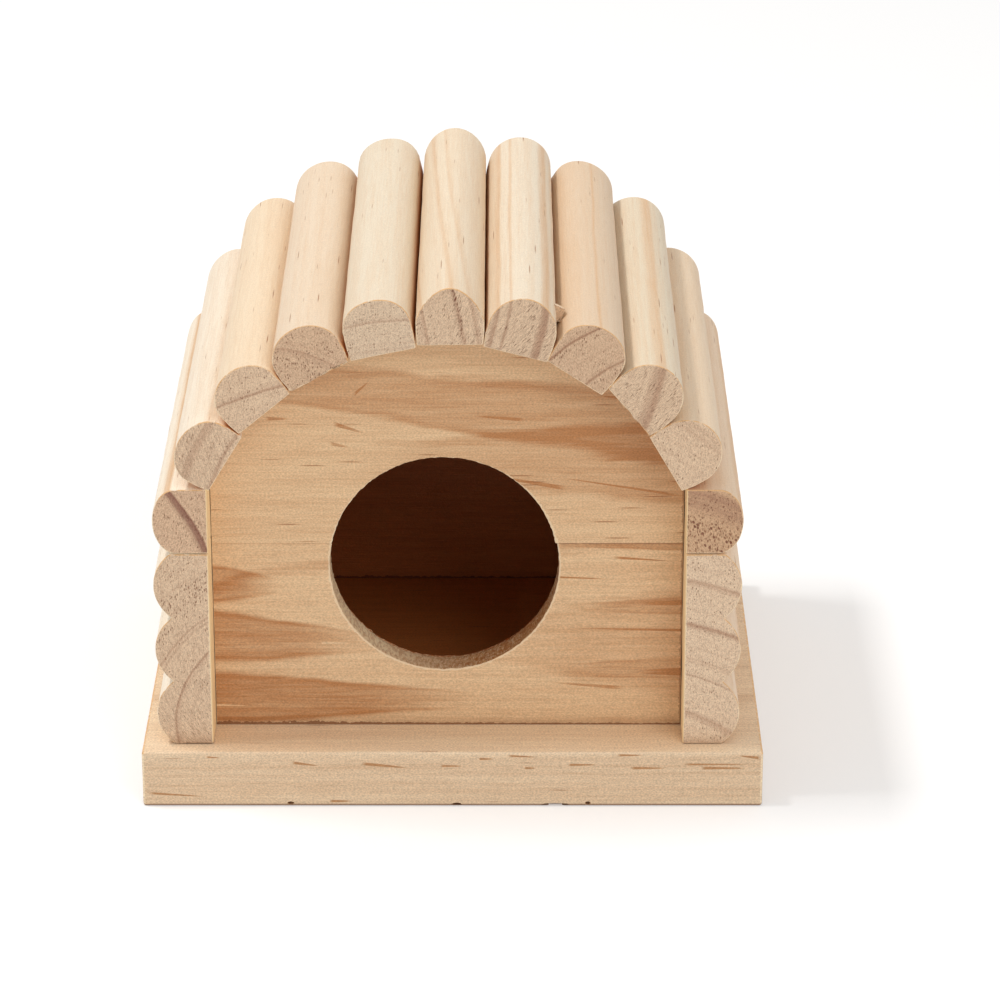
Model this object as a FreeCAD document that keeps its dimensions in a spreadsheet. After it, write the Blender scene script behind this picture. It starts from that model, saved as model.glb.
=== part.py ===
import FreeCAD, Part
import os
import Sketcher
from FreeCAD import Placement, Rotation, Vector

# Small-animal house of solid pine.
#
# Two scalloped wall mouldings and two half-round battens on top of them make the
# side walls. Half-round roof battens lean against each other in an arch over them.
# A front and a back panel, each of two edge-glued boards, close the room under the
# arch, and a round door is cut through the front one. Everything stands on a floor
# board and is nailed to it from below.
#
# Millimetres, +Z up, front towards -Y. The origin is the middle of the floor
# board's underside. Heights of the house are counted from the floor's top face.

DOCUMENT = "animal_house"
SIZES = "Size"      # sheet of the driving dimensions
WORKED = "Worked"   # sheet of what follows from them

DRIVING = [
    ("room_width", 102, "between the inner faces of the side walls"),
    ("house_length", 112, "wall and roof battens, front to back"),
    ("porch_depth", 10, "front panel, in from the batten ends"),
    ("rear_recess", 14, "back panel, in from the batten ends"),
    ("wall_lobes", 3, "half-rounds milled on one wall moulding"),
    ("batten_width", 15, "one half-round of the walls"),
    ("wall_thickness", 12.4, "wall, from its inner face to a crest"),
    ("lobe_depth", 3.7, "groove between two half-rounds of a moulding"),
    ("top_batten_shoulder", 7, "flat side of a wall's top batten"),
    ("roof_battens", 9, "battens in the arch"),
    ("arch_half_angle", 65.8, "degrees, from the ridge to the eaves"),
    ("roof_batten_height", 12.9, "seat to crest"),
    ("roof_batten_shoulder", 5.4, "where the round back of a roof batten starts"),
    ("bevel_height", 3, "planed foot of a roof batten's sides"),
    ("glue_gap", 0.1, "glue line between two battens or two boards"),
    ("panel_thickness", 7.5, "front and back boards"),
    ("panel_clearance", 0.1, "glue line between a panel and the battens round it"),
    ("lower_board_height", 43.4, "seam of the panels, above the floor"),
    ("board_step", 0.4, "front upper board, proud of the lower one"),
    ("door_diameter", 50, "round door"),
    ("door_centre_height", 38.7, "above the floor"),
    ("door_offset", 1, "door, left of the house's middle"),
    ("floor_thickness", 13, "floor board"),
    ("floor_side_margin", 4.1, "floor board past the walls, when centred"),
    ("floor_front_margin", 4, "floor board past the battens in front"),
    ("floor_back_margin", 4, "floor board past the battens behind"),
    ("floor_edge_radius", 0.6, "sanded edges of the floor board"),
    ("house_offset", 1, "house, left of the floor board's middle"),
    ("nail_diameter", 1.6, "shank"),
    ("nail_length", 28, "head to point"),
    ("nail_point_length", 2.4, "tapered end"),
    ("nail_tip_diameter", 0.3, "blunt end of the point"),
    ("nail_head_diameter", 3.4, "flat head"),
    ("nail_head_thickness", 0.8, "flat head"),
    ("nail_clearance", 0.05, "nail in its hole, each way"),
    ("wall_nail_spacing", 40, "between the nails of one wall"),
    ("panel_nail_spacing", 68, "between the two nails of a panel"),
]

FOLLOWING = [
    ("floor_width", "Size.room_width + 2 * Size.wall_thickness + 2 * Size.floor_side_margin"),
    ("floor_depth", "Size.house_length + Size.floor_front_margin + Size.floor_back_margin"),
    ("house_y", "(Size.floor_front_margin - Size.floor_back_margin) / 2"),
    ("wall_height", "Size.wall_lobes * Size.batten_width"),
    ("eaves_height", "wall_height + Size.batten_width"),
    ("top_batten_half", "(Size.batten_width - Size.glue_gap) / 2"),
    ("arch_step", "2 * Size.arch_half_angle / Size.roof_battens"),
    ("corner_radius", "Size.room_width / 2 / sin(Size.arch_half_angle)"),
    ("seat_radius", "corner_radius * cos(arch_step / 2)"),
    ("arch_centre", "eaves_height - corner_radius * cos(Size.arch_half_angle)"),
    ("seat_half", "corner_radius * sin(arch_step / 2) - Size.glue_gap / 2"),
    ("roof_batten_half", "seat_half + Size.bevel_height * tan(arch_step / 2)"),
    ("eaves_bevel", "90 - Size.arch_half_angle + arch_step / 2"),
    ("panel_half_width", "Size.room_width / 2 - Size.panel_clearance"),
    ("panel_radius", "seat_radius - Size.panel_clearance"),
    ("panel_spring", "arch_centre + sqrt(panel_radius ^ 2 - panel_half_width ^ 2)"),
    ("upper_board_foot", "Size.lower_board_height + Size.glue_gap"),
    ("front_panel_y", "Size.porch_depth + Size.panel_thickness / 2 - Size.house_length / 2"),
    ("back_panel_y", "Size.house_length / 2 - Size.rear_recess - Size.panel_thickness / 2"),
    ("wall_nail_x", "Size.room_width / 2 + (Size.wall_thickness - Size.lobe_depth) / 2"),
    ("nail_hole_radius", "Size.nail_diameter / 2 + Size.nail_clearance"),
    ("nail_head_hole_radius", "Size.nail_head_diameter / 2 + Size.nail_clearance"),
    ("nail_hole_depth", "Size.nail_length - Size.floor_thickness + Size.nail_clearance"),
]

WALL_NAIL_ROWS = (-1, 0, 1)     # steps of the nail spacing along a wall
SIDES = (("left", -1), ("right", 1))

doc = FreeCAD.newDocument(DOCUMENT)


# --- Sheets -----------------------------------------------------------------

def fill_row(sheet, row, alias, text, note):
    sheet.set(f"A{row}", alias)
    sheet.set(f"B{row}", text)
    sheet.setAlias(f"B{row}", alias)
    sheet.set(f"C{row}", note)


def fill_sheets():
    """The driving dimensions as plain numbers, and what follows from them as formulas."""
    sizes = doc.addObject("Spreadsheet::Sheet", SIZES)
    for row, (alias, number, note) in enumerate(DRIVING, start=1):
        fill_row(sizes, row, alias, str(number), note)
    doc.recompute()
    worked = doc.addObject("Spreadsheet::Sheet", WORKED)
    for row, (alias, formula) in enumerate(FOLLOWING, start=1):
        fill_row(worked, row, alias, "=" + formula, "")
    doc.recompute()
    return sizes


def value(expression):
    """The number that an expression on the sheets gives."""
    return float(sizes.evalExpression(expression))


# --- Helpers for bodies and sketches ----------------------------------------

def new_body(node):
    body = doc.addObject("PartDesign::Body", node)
    body.Label = node
    return body


def new_sketch(body, name, plane):
    sketch = body.newObject("Sketcher::SketchObject", name)
    datum = next(item for item in body.Origin.OriginFeatures if item.Role == plane)
    sketch.AttachmentSupport = [(datum, "")]
    sketch.MapMode = "FlatFace"
    return sketch


def pin_point(sketch, geometry, vertex, axis, expression):
    """Ties one coordinate of a sketch point to an expression."""
    datum = value(expression)
    constraint = Sketcher.Constraint("Distance" + axis, -1, 1, geometry, vertex, datum)
    index = sketch.addConstraint(constraint)
    sketch.setExpression(f"Constraints[{index}]", expression)


def outline(body, name, plane, corners, arcs):
    """Closed sketch, counter-clockwise through corners, each a pair of expressions.

    arcs holds, by the number of the side it bows, the crest of each arc, the axis
    along which its centre is pinned, and the expression of that centre.
    """
    sketch = new_sketch(body, name, plane)
    points = [Vector(value(x), value(y), 0) for x, y in corners]
    count = len(points)
    for side, start in enumerate(points):
        end = points[(side + 1) % count]
        if side in arcs:
            crest = Vector(value(arcs[side][0]), value(arcs[side][1]), 0)
            sketch.addGeometry(Part.Arc(start, crest, end))
        else:
            sketch.addGeometry(Part.LineSegment(start, end))
    for side in range(count):
        sketch.addConstraint(Sketcher.Constraint("Coincident", side, 2, (side + 1) % count, 1))
    for side, (x, y) in enumerate(corners):
        pin_point(sketch, side, 1, "X", x)
        pin_point(sketch, side, 1, "Y", y)
    for side, (_, _, axis, centre) in arcs.items():
        pin_point(sketch, side, 3, axis, centre)
    return sketch


def circles(body, name, plane, centres, radius):
    """Sketch of equal circles; every centre and the radius are expressions."""
    sketch = new_sketch(body, name, plane)
    for number, (x, y) in enumerate(centres):
        middle = Vector(value(x), value(y), 0)
        sketch.addGeometry(Part.Circle(middle, Vector(0, 0, 1), value(radius)))
        pin_point(sketch, number, 3, "X", x)
        pin_point(sketch, number, 3, "Y", y)
        index = sketch.addConstraint(Sketcher.Constraint("Radius", number, value(radius)))
        sketch.setExpression(f"Constraints[{index}]", radius)
    return sketch


def pad(body, sketch, length, side_type="Symmetric"):
    feature = body.newObject("PartDesign::Pad", sketch.Name + "_pad")
    feature.Profile = sketch
    feature.SideType = side_type
    feature.setExpression("Length", length)
    doc.recompute()
    return feature


def pocket(body, sketch, depth=None):
    """Cuts upwards from the sketch by depth, or through the whole body with none."""
    before = body.Shape.Volume
    feature = body.newObject("PartDesign::Pocket", sketch.Name + "_cut")
    feature.Profile = sketch
    if depth is None:
        feature.Type = "ThroughAll"
        feature.SideType = "Symmetric"
    else:
        feature.Reversed = True
        feature.setExpression("Length", depth)
    doc.recompute()
    if body.Shape.Volume >= before:
        raise RuntimeError(feature.Name + " cuts nothing")
    return feature


def place(piece, x, y, z, turn="0", about=Vector(0, 1, 0)):
    """Puts a piece where the expressions say, turned about one axis."""
    piece.Placement = Placement(Vector(), Rotation(about, 1))
    piece.setExpression(".Placement.Base.x", x)
    piece.setExpression(".Placement.Base.y", y)
    piece.setExpression(".Placement.Base.z", z)
    piece.setExpression(".Placement.Rotation.Angle", turn)
    doc.recompute()


def arc_centre(half_chord, shoulder, crest):
    """Centre, along the rise, of the arc from shoulder to shoulder over a crest."""
    rise = f"({crest} - {shoulder})"
    return f"{crest} - (({half_chord}) ^ 2 + {rise} ^ 2) / (2 * {rise})"


# --- Places in the house ----------------------------------------------------

def house_x(x):
    """x on the floor board of a place that is x from the house's middle."""
    return f"{x} - Size.house_offset"


def house_z(z):
    """Height above the underside of a place that is z above the floor."""
    return f"Size.floor_thickness + {z}"


def wall_nail_places():
    """Nail centres under both walls, from the house's middle."""
    return [
        (f"{side} * Worked.wall_nail_x", f"{row} * Size.wall_nail_spacing")
        for _, side in SIDES
        for row in WALL_NAIL_ROWS
    ]


def panel_nail_places():
    """Nail centres under both panels, from the house's middle."""
    return [
        (f"{side} * Size.panel_nail_spacing / 2", y)
        for y in ("Worked.front_panel_y", "Worked.back_panel_y")
        for _, side in SIDES
    ]


def nail_places():
    """Every nail centre on the floor board."""
    places = wall_nail_places() + panel_nail_places()
    return [(house_x(x), f"{y} + Worked.house_y") for x, y in places]


# --- Floor board ------------------------------------------------------------

def floor_board():
    """Board with sanded edges, drilled from below for the nails and their heads."""
    body = new_body("floor_board")
    half_width = "Worked.floor_width / 2"
    half_depth = "Worked.floor_depth / 2"
    corners = [
        ("-" + half_width, "-" + half_depth),
        (half_width, "-" + half_depth),
        (half_width, half_depth),
        ("-" + half_width, half_depth),
    ]
    plan = outline(body, "floor_plan", "XY_Plane", corners, {})
    board = pad(body, plan, "Size.floor_thickness", side_type="One side")
    rounded = body.newObject("PartDesign::Fillet", "floor_edges")
    rounded.Base = (board, [f"Edge{number + 1}" for number in range(len(board.Shape.Edges))])
    rounded.setExpression("Radius", "Size.floor_edge_radius")
    doc.recompute()
    shanks = circles(body, "floor_nail_holes", "XY_Plane", nail_places(), "Worked.nail_hole_radius")
    pocket(body, shanks)
    heads = circles(body, "floor_head_holes", "XY_Plane", nail_places(), "Worked.nail_head_hole_radius")
    pocket(body, heads, depth="Size.nail_head_thickness")
    return body


# --- Walls ------------------------------------------------------------------

def wall_moulding(side_name, side):
    """Board with half-rounds milled on its outer face; the same piece, turned, does both walls."""
    body = new_body(side_name + "_wall_moulding")
    lobes = int(value("Size.wall_lobes"))
    crest = "Size.wall_thickness"
    groove = f"({crest} - Size.lobe_depth)"
    centre = arc_centre("Size.batten_width / 2", groove, crest)
    corners = [("0", "0")]
    arcs = {}
    for lobe in range(lobes):
        corners.append((groove, f"{lobe} * Size.batten_width"))
        arcs[lobe + 1] = (crest, f"{lobe + 0.5} * Size.batten_width", "X", centre)
    corners.append((groove, "Worked.wall_height"))
    corners.append(("0", "Worked.wall_height"))
    profile = outline(body, side_name + "_wall_profile", "XZ_Plane", corners, arcs)
    pad(body, profile, "Size.house_length")
    middle = "(Size.wall_thickness - Size.lobe_depth) / 2"
    places = [(middle, f"{row} * Size.wall_nail_spacing") for row in WALL_NAIL_ROWS]
    holes = circles(body, side_name + "_wall_nail_holes", "XY_Plane", places, "Worked.nail_hole_radius")
    pocket(body, holes, depth="Worked.nail_hole_depth")
    inner_face = house_x(f"{side} * Size.room_width / 2")
    turn = "0" if side > 0 else "180"
    place(body, inner_face, "Worked.house_y", "Size.floor_thickness", turn, about=Vector(0, 0, 1))
    return body


def wall_top_batten(side_name, side):
    """Half-round batten, flat to the room, that stands on the moulding and carries the eaves."""
    body = new_body(side_name + "_wall_top_batten")
    half = "Worked.top_batten_half"
    shoulder = "Size.top_batten_shoulder"
    crest = "Size.wall_thickness"
    corners = [("-" + half, "0"), (half, "0"), (half, shoulder), ("-" + half, shoulder)]
    arcs = {2: ("0", crest, "Y", arc_centre(half, shoulder, crest))}
    profile = outline(body, side_name + "_top_batten_profile", "XZ_Plane", corners, arcs)
    pad(body, profile, "Size.house_length")
    inner_face = house_x(f"{side} * Size.room_width / 2")
    height = house_z("Worked.wall_height + Size.batten_width / 2")
    place(body, inner_face, "Worked.house_y", height, turn=f"{side * 90}")
    return body


# --- Roof -------------------------------------------------------------------

def roof_batten_name(step):
    """Name of the batten that is step battens right of the ridge."""
    if step == 0:
        return "roof_batten_ridge"
    side_name = "left" if step < 0 else "right"
    return f"roof_batten_{side_name}_{abs(step)}"


def roof_batten(number, count):
    """Half-round batten whose sides are planed to meet its neighbours below their rounds.

    The two battens at the eaves are planed level on their lower side, to sit on the walls.
    """
    step = number - count // 2
    node = roof_batten_name(step)
    body = new_body(node)
    neighbour = "Worked.arch_step / 2"
    left_bevel = "Worked.eaves_bevel" if number == 0 else neighbour
    right_bevel = "Worked.eaves_bevel" if number == count - 1 else neighbour
    seat = "Worked.seat_half"
    half = "Worked.roof_batten_half"
    shoulder = "Size.roof_batten_shoulder"
    crest = "Size.roof_batten_height"
    corners = [
        ("-" + seat, "0"),
        (seat, "0"),
        (half, f"({half} - {seat}) / tan({right_bevel})"),
        (half, shoulder),
        ("-" + half, shoulder),
        ("-" + half, f"({half} - {seat}) / tan({left_bevel})"),
    ]
    arcs = {3: ("0", crest, "Y", arc_centre(half, shoulder, crest))}
    profile = outline(body, node + "_profile", "XZ_Plane", corners, arcs)
    pad(body, profile, "Size.house_length")
    lean = f"({number} - (Size.roof_battens - 1) / 2) * Worked.arch_step"
    x = house_x(f"Worked.seat_radius * sin({lean})")
    z = house_z(f"Worked.arch_centre + Worked.seat_radius * cos({lean})")
    place(body, x, "Worked.house_y", z, turn=lean)
    return body


# --- Panels -----------------------------------------------------------------

def lower_board(panel, y):
    """Lower board of a panel, nailed through the floor."""
    body = new_body(panel + "_panel_lower_board")
    half = "Worked.panel_half_width"
    corners = [
        ("-" + half, "0"),
        (half, "0"),
        (half, "Size.lower_board_height"),
        ("-" + half, "Size.lower_board_height"),
    ]
    face = outline(body, panel + "_lower_face", "XZ_Plane", corners, {})
    pad(body, face, "Size.panel_thickness")
    places = [(f"{side} * Size.panel_nail_spacing / 2", "0") for _, side in SIDES]
    holes = circles(body, panel + "_panel_nail_holes", "XY_Plane", places, "Worked.nail_hole_radius")
    pocket(body, holes, depth="Worked.nail_hole_depth")
    place(body, house_x("0"), f"{y} + Worked.house_y", "Size.floor_thickness")
    return body


def upper_board(panel, y):
    """Upper board of a panel, rounded to the arch."""
    body = new_body(panel + "_panel_upper_board")
    half = "Worked.panel_half_width"
    corners = [
        ("-" + half, "Worked.upper_board_foot"),
        (half, "Worked.upper_board_foot"),
        (half, "Worked.panel_spring"),
        ("-" + half, "Worked.panel_spring"),
    ]
    crest = "Worked.arch_centre + Worked.panel_radius"
    arcs = {2: ("0", crest, "Y", "Worked.arch_centre")}
    face = outline(body, panel + "_upper_face", "XZ_Plane", corners, arcs)
    pad(body, face, "Size.panel_thickness")
    place(body, house_x("0"), f"{y} + Worked.house_y", "Size.floor_thickness")
    return body


def cut_door(board):
    """Cuts the round door's share out of a front board."""
    centre = [("-Size.door_offset", "Size.door_centre_height")]
    hole = circles(board, board.Label + "_door", "XZ_Plane", centre, "Size.door_diameter / 2")
    pocket(board, hole)


def front_panel():
    lower = lower_board("front", "Worked.front_panel_y")
    upper = upper_board("front", "Worked.front_panel_y - Size.board_step")
    cut_door(lower)
    cut_door(upper)
    return [lower, upper]


def back_panel():
    return [lower_board("back", "Worked.back_panel_y"), upper_board("back", "Worked.back_panel_y")]


# --- Nails ------------------------------------------------------------------

def nail(number, x, y):
    """Wire nail driven upwards: flat head, shank and point."""
    head = doc.addObject("Part::Cylinder", f"nail_{number}_head")
    head.setExpression("Radius", "Size.nail_head_diameter / 2")
    head.setExpression("Height", "Size.nail_head_thickness")
    shank = doc.addObject("Part::Cylinder", f"nail_{number}_shank")
    shank.setExpression("Radius", "Size.nail_diameter / 2")
    shank.setExpression("Height", "Size.nail_length - Size.nail_point_length")
    point = doc.addObject("Part::Cone", f"nail_{number}_point")
    point.setExpression("Radius1", "Size.nail_diameter / 2")
    point.setExpression("Radius2", "Size.nail_tip_diameter / 2")
    point.setExpression("Height", "Size.nail_point_length")
    point.setExpression(".Placement.Base.z", "Size.nail_length - Size.nail_point_length")
    whole = doc.addObject("Part::MultiFuse", f"nail_{number}")
    whole.Shapes = [head, shank, point]
    whole.Refine = True
    place(whole, x, y, "0")
    return whole


def floor_nails():
    """All the floor nails, as one group of separate solids."""
    group = doc.addObject("Part::Compound", "floor_nails")
    group.Label = "floor_nails"
    group.Links = [nail(number, x, y) for number, (x, y) in enumerate(nail_places(), start=1)]
    doc.recompute()
    return group


# --- Assembly and files -----------------------------------------------------

def check_document():
    failed = [item.Name for item in doc.Objects if {"Invalid", "Error"} & set(item.State)]
    if failed:
        raise RuntimeError("failed objects: " + ", ".join(failed))


def check_piece(piece, solids):
    shape = piece.Shape
    if shape.isNull() or not shape.isValid():
        raise RuntimeError(piece.Label + " has no valid shape")
    if len(shape.Solids) != solids:
        raise RuntimeError(f"{piece.Label} has {len(shape.Solids)} solids instead of {solids}")


sizes = fill_sheets()
pieces = [floor_board()]
for side_name, side in SIDES:
    pieces.append(wall_moulding(side_name, side))
    pieces.append(wall_top_batten(side_name, side))
roof_count = int(value("Size.roof_battens"))
pieces += [roof_batten(number, roof_count) for number in range(roof_count)]
pieces += front_panel()
pieces += back_panel()
pieces.append(floor_nails())

doc.recompute()
check_document()
for piece in pieces:
    check_piece(piece, len(nail_places()) if piece.Label == "floor_nails" else 1)

os.makedirs("parts", exist_ok=True)
for piece in pieces:
    piece.Shape.exportStep(f"parts/{piece.Label}.step")
    box = piece.Shape.BoundBox
    print(f"{piece.Label}: {box.XLength:.2f} x {box.YLength:.2f} x {box.ZLength:.2f} mm")
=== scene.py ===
# %% [markdown]
# # A small pine house for a hamster
#
# Two scalloped walls carry an arch of half-round battens. A front panel with a round
# door and a plain back panel close the room. The whole house is bare, sanded pine, so
# the lesson is mostly about two things: edges that look cut and sanded by hand, and
# wood whose rings run through the whole piece, from the round back to the sawn end.

# %% The frame
from itertools import pairwise
from math import atan2, cos, pi, radians, sin

import bpy
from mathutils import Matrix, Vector


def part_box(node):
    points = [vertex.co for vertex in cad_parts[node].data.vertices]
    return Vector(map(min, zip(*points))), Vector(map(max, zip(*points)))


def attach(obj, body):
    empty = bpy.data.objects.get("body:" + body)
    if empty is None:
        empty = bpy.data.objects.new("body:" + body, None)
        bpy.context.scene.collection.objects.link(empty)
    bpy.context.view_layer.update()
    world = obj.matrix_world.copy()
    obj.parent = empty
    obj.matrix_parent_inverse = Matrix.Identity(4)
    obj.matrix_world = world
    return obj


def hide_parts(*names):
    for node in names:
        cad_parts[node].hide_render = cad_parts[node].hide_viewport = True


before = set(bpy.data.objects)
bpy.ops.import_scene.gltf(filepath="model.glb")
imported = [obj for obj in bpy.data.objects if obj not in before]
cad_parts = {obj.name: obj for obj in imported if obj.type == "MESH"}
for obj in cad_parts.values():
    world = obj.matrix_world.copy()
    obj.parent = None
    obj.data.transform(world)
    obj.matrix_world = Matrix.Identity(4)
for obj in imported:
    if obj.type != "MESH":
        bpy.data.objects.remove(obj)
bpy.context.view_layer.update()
mm = 0.001
print(f"{len(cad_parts)} nodes in the packed model")

# %% [markdown]
# ## Camera
#
# A long lens from a little above the front keeps the walls almost parallel and shows
# the round backs of the roof battens as well as their sawn ends. It stands a little
# right of the middle, so more of the left wall's inner face shows than of the right.

# %% Camera
camera_place = Vector((10.33, -871.2, 408.3)) * mm
camera_tilt = radians(22.5)

bpy.ops.object.camera_add(location=camera_place, rotation=(pi / 2 - camera_tilt, 0, 0))
camera = bpy.context.object
camera.data.lens = 149.4
camera.data.sensor_width = 36
bpy.context.scene.camera = camera
print(f"camera {camera_place.length:.2f} m from the house")

# %% [markdown]
# ## Measures
#
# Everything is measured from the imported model, so the pieces made here sit where the
# solids sit. The seats of the roof battens are the sides of a polygon, and its centre
# and radius follow from the room's width, the eaves and the angle of the arch.

# %% Measures of the house
def low(node):
    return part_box(node)[0]


def high(node):
    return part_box(node)[1]


SIDES = (("left", -1), ("right", 1))
floor_top = high("floor_board").z
front_end = low("roof_batten_ridge").y
back_end = high("roof_batten_ridge").y
wall_inner = {"left": high("left_wall_moulding").x, "right": low("right_wall_moulding").x}
room_half = (wall_inner["right"] - wall_inner["left"]) / 2
middle_x = (wall_inner["right"] + wall_inner["left"]) / 2
glue_gap = 0.1 * mm
touch = 0.01 * mm  # places closer than this count as one
batten_width = 15 * mm
eaves = high("left_wall_top_batten").z + glue_gap / 2

batten_count = 9
arch_half_angle = radians(65.8)
arch_step = 2 * arch_half_angle / batten_count
corner_radius = room_half / sin(arch_half_angle)
seat_radius = corner_radius * cos(arch_step / 2)
arch_centre = Vector((middle_x, 0, eaves - corner_radius * cos(arch_half_angle)))
seat_half = corner_radius * sin(arch_step / 2) - glue_gap / 2
seam = high("front_panel_lower_board").z
door_centre = Vector((middle_x - 0.7 * mm, 0, floor_top + 38.3 * mm))
door_radius = 24.85 * mm
ridge_seat = arch_centre.z + seat_radius - floor_top
print(f"ridge seat {ridge_seat / mm:.2f} mm above the floor board")

# %% [markdown]
# ## Working with operators
#
# Every piece is modelled as by hand, in edit mode. Two small helpers keep that short:
# one picks vertices, edges or faces by a test on their place, the other takes a
# finished object, turns and moves it into the house, and bakes that into its mesh, so
# that each object itself stays at the origin.

# %% Helpers for edit mode
def active():
    return bpy.context.view_layer.objects.active


def edit():
    bpy.ops.object.mode_set(mode="EDIT")


def leave_edit():
    bpy.ops.object.mode_set(mode="OBJECT")


def pick_vertices(test):
    """Selects the vertices of the object in edit mode that pass the test."""
    bpy.ops.mesh.select_mode(type="VERT")
    bpy.ops.mesh.select_all(action="DESELECT")
    leave_edit()
    for vertex in active().data.vertices:
        vertex.select = test(vertex.co)
    edit()


def pick_edges(test):
    """Selects the edges whose two ends pass the test together."""
    bpy.ops.mesh.select_mode(type="EDGE")
    bpy.ops.mesh.select_all(action="DESELECT")
    leave_edit()
    vertices = active().data.vertices
    for edge in active().data.edges:
        edge.select = test(*(vertices[number].co for number in edge.vertices))
    edit()


def pick_faces(test):
    """Selects the faces whose normal and centre pass the test."""
    bpy.ops.mesh.select_mode(type="FACE")
    bpy.ops.mesh.select_all(action="DESELECT")
    leave_edit()
    for face in active().data.polygons:
        face.select = test(face.normal, face.center)
    edit()


def settle(piece, place=(0, 0, 0), roll=0, lean=0, turn=0):
    """Turns and moves a piece into the house and bakes that into its mesh."""
    piece.rotation_euler = (roll, lean, turn)
    piece.location = place
    bpy.ops.object.transform_apply(location=True, rotation=True, scale=True)


def apply(modifier):
    bpy.ops.object.modifier_apply(modifier=modifier.name)


def choose(piece):
    """Makes this the only selected object, and the active one."""
    bpy.ops.object.select_all(action="DESELECT")
    piece.select_set(True)
    bpy.context.view_layer.objects.active = piece


# %% [markdown]
# ## A long edge, drawn into a moulding
#
# A batten is as long as a ruler and has the same section all along, like something
# pushed past a cutter. So it starts as one long edge along Y. That edge is extruded
# along the straight stretches of the section and spun around its round ones, and the
# faces it leaves behind are the batten's skin. The edge has more points near its two
# ends, because sawn ends are where wood chips and wears.

# %% Draw a long edge
NEAR_ENDS = (0.75, 1.4, 2.3, 3.6, 5.6, 8.5)  # mm from each end
middle_steps = 32


def stations(length):
    """Places along Y, close together near both ends and further apart between them."""
    near = [place * mm for place in NEAR_ENDS]
    first, last = near[-1], length - near[-1]
    middle = [first + (last - first) * n / middle_steps for n in range(1, middle_steps)]
    along = [0, *near, *middle, *(length - place for place in reversed(near)), length]
    return [y - length / 2 for y in along]


def long_edge(name, length, start):
    """New object in edit mode: one edge chain along Y through start, all selected."""
    bpy.ops.object.select_all(action="DESELECT")
    bpy.ops.mesh.primitive_plane_add(size=mm)
    active().name = name
    active().data.name = name
    edit()
    bpy.ops.mesh.select_mode(type="VERT")
    bpy.ops.mesh.merge(type="CENTER")
    along = stations(length)
    bpy.ops.transform.translate(value=(start[0], along[0], start[1]))
    for here, there in pairwise(along):
        move = {"value": (0, there - here, 0)}
        bpy.ops.mesh.extrude_vertices_move(TRANSFORM_OT_translate=move)
    bpy.ops.mesh.select_all(action="SELECT")
    return active()


def stroke(x, z, steps=1):
    """Extrudes the long edge by (x, z) in steps."""
    for _ in range(steps):
        move = {"value": (x / steps, 0, z / steps)}
        bpy.ops.mesh.extrude_edges_move(TRANSFORM_OT_translate=move)


def sweep(centre, angle, steps):
    """Spins the long edge around an axis along Y; a positive angle turns -X towards +Z."""
    middle = (centre[0], 0, centre[1])
    bpy.ops.mesh.spin(steps=steps, angle=-angle, center=middle, axis=(0, 1, 0))


def close_skin():
    """Joins the last stroke to the first one."""
    bpy.ops.mesh.select_all(action="SELECT")
    bpy.ops.mesh.remove_doubles(threshold=touch)


# %% [markdown]
# The two open ends get a cap. A cap of one face can't be dented, so it is drawn as
# rings: the face is extruded in place and shrunk towards its middle, a few times.

# %% Cap the ends
RINGS = (0.86, 0.8, 0.72, 0.55)


def ring_cap(y, centre):
    """Divides the selected end face into rings of faces round its centre (x, z)."""
    for shrink in RINGS:
        bpy.ops.mesh.extrude_region_move()
        middle = (centre[0], y, centre[1])
        bpy.ops.transform.resize(value=(shrink, 1, shrink), center_override=middle)


def cap_ends(length, centres, splits=()):
    """Closes both ends; splits are the heights at which an end face is divided."""
    reach = batten_width / 2
    for y in (-length / 2, length / 2):
        pick_vertices(lambda co: abs(co.y - y) < touch)
        bpy.ops.mesh.edge_face_add()
        for height in splits:
            pick_vertices(lambda co: abs(co.y - y) < touch and abs(co.z - height) < touch)
            bpy.ops.mesh.vert_connect()
        for centre in centres:
            pick_faces(lambda normal, at: abs(at.y - y) < touch and abs(at.z - centre[1]) < reach)
            ring_cap(y, centre)
    bpy.ops.mesh.select_all(action="SELECT")
    bpy.ops.mesh.normals_make_consistent(inside=False)
    leave_edit()


# %% [markdown]
# ## Softened edges
#
# Sandpaper takes the sharpness off every edge of a real board, and light then draws a
# thin line along it. A Bevel modifier could round all edges by one width. This one
# reads a weight from each edge, so an edge that tools or hands wore can be rounder than
# the rest.

# %% Soften the edges
sharp_angle = radians(35)


def soften(piece, width, segments=2, worn=None, worn_width=0):
    """Rounds every sharp edge, and by worn_width those whose two ends pass the test worn."""
    widest = max(width, worn_width)
    edit()
    bpy.ops.mesh.select_mode(type="EDGE")
    bpy.ops.mesh.select_all(action="DESELECT")
    bpy.ops.mesh.edges_select_sharp(sharpness=sharp_angle)
    bpy.ops.transform.edge_bevelweight(value=width / widest)
    if worn:
        pick_edges(lambda one, other: worn(one) and worn(other))
        bpy.ops.transform.edge_bevelweight(value=1 - width / widest)
    leave_edit()
    bevel = piece.modifiers.new("softened edges", "BEVEL")
    bevel.width = widest
    bevel.segments = segments
    bevel.limit_method = "WEIGHT"
    apply(bevel)


# %% [markdown]
# ## Uneven surfaces
#
# A planed face is never quite flat, and one that is looks like plastic. A Displace
# modifier with a cloud texture moves the skin by a fraction of a millimetre. Along its
# normals it only moves inwards, so that a piece stays inside its solid. Where a blunt
# saw tore the wood, the vertices are pulled about at random instead.

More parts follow.
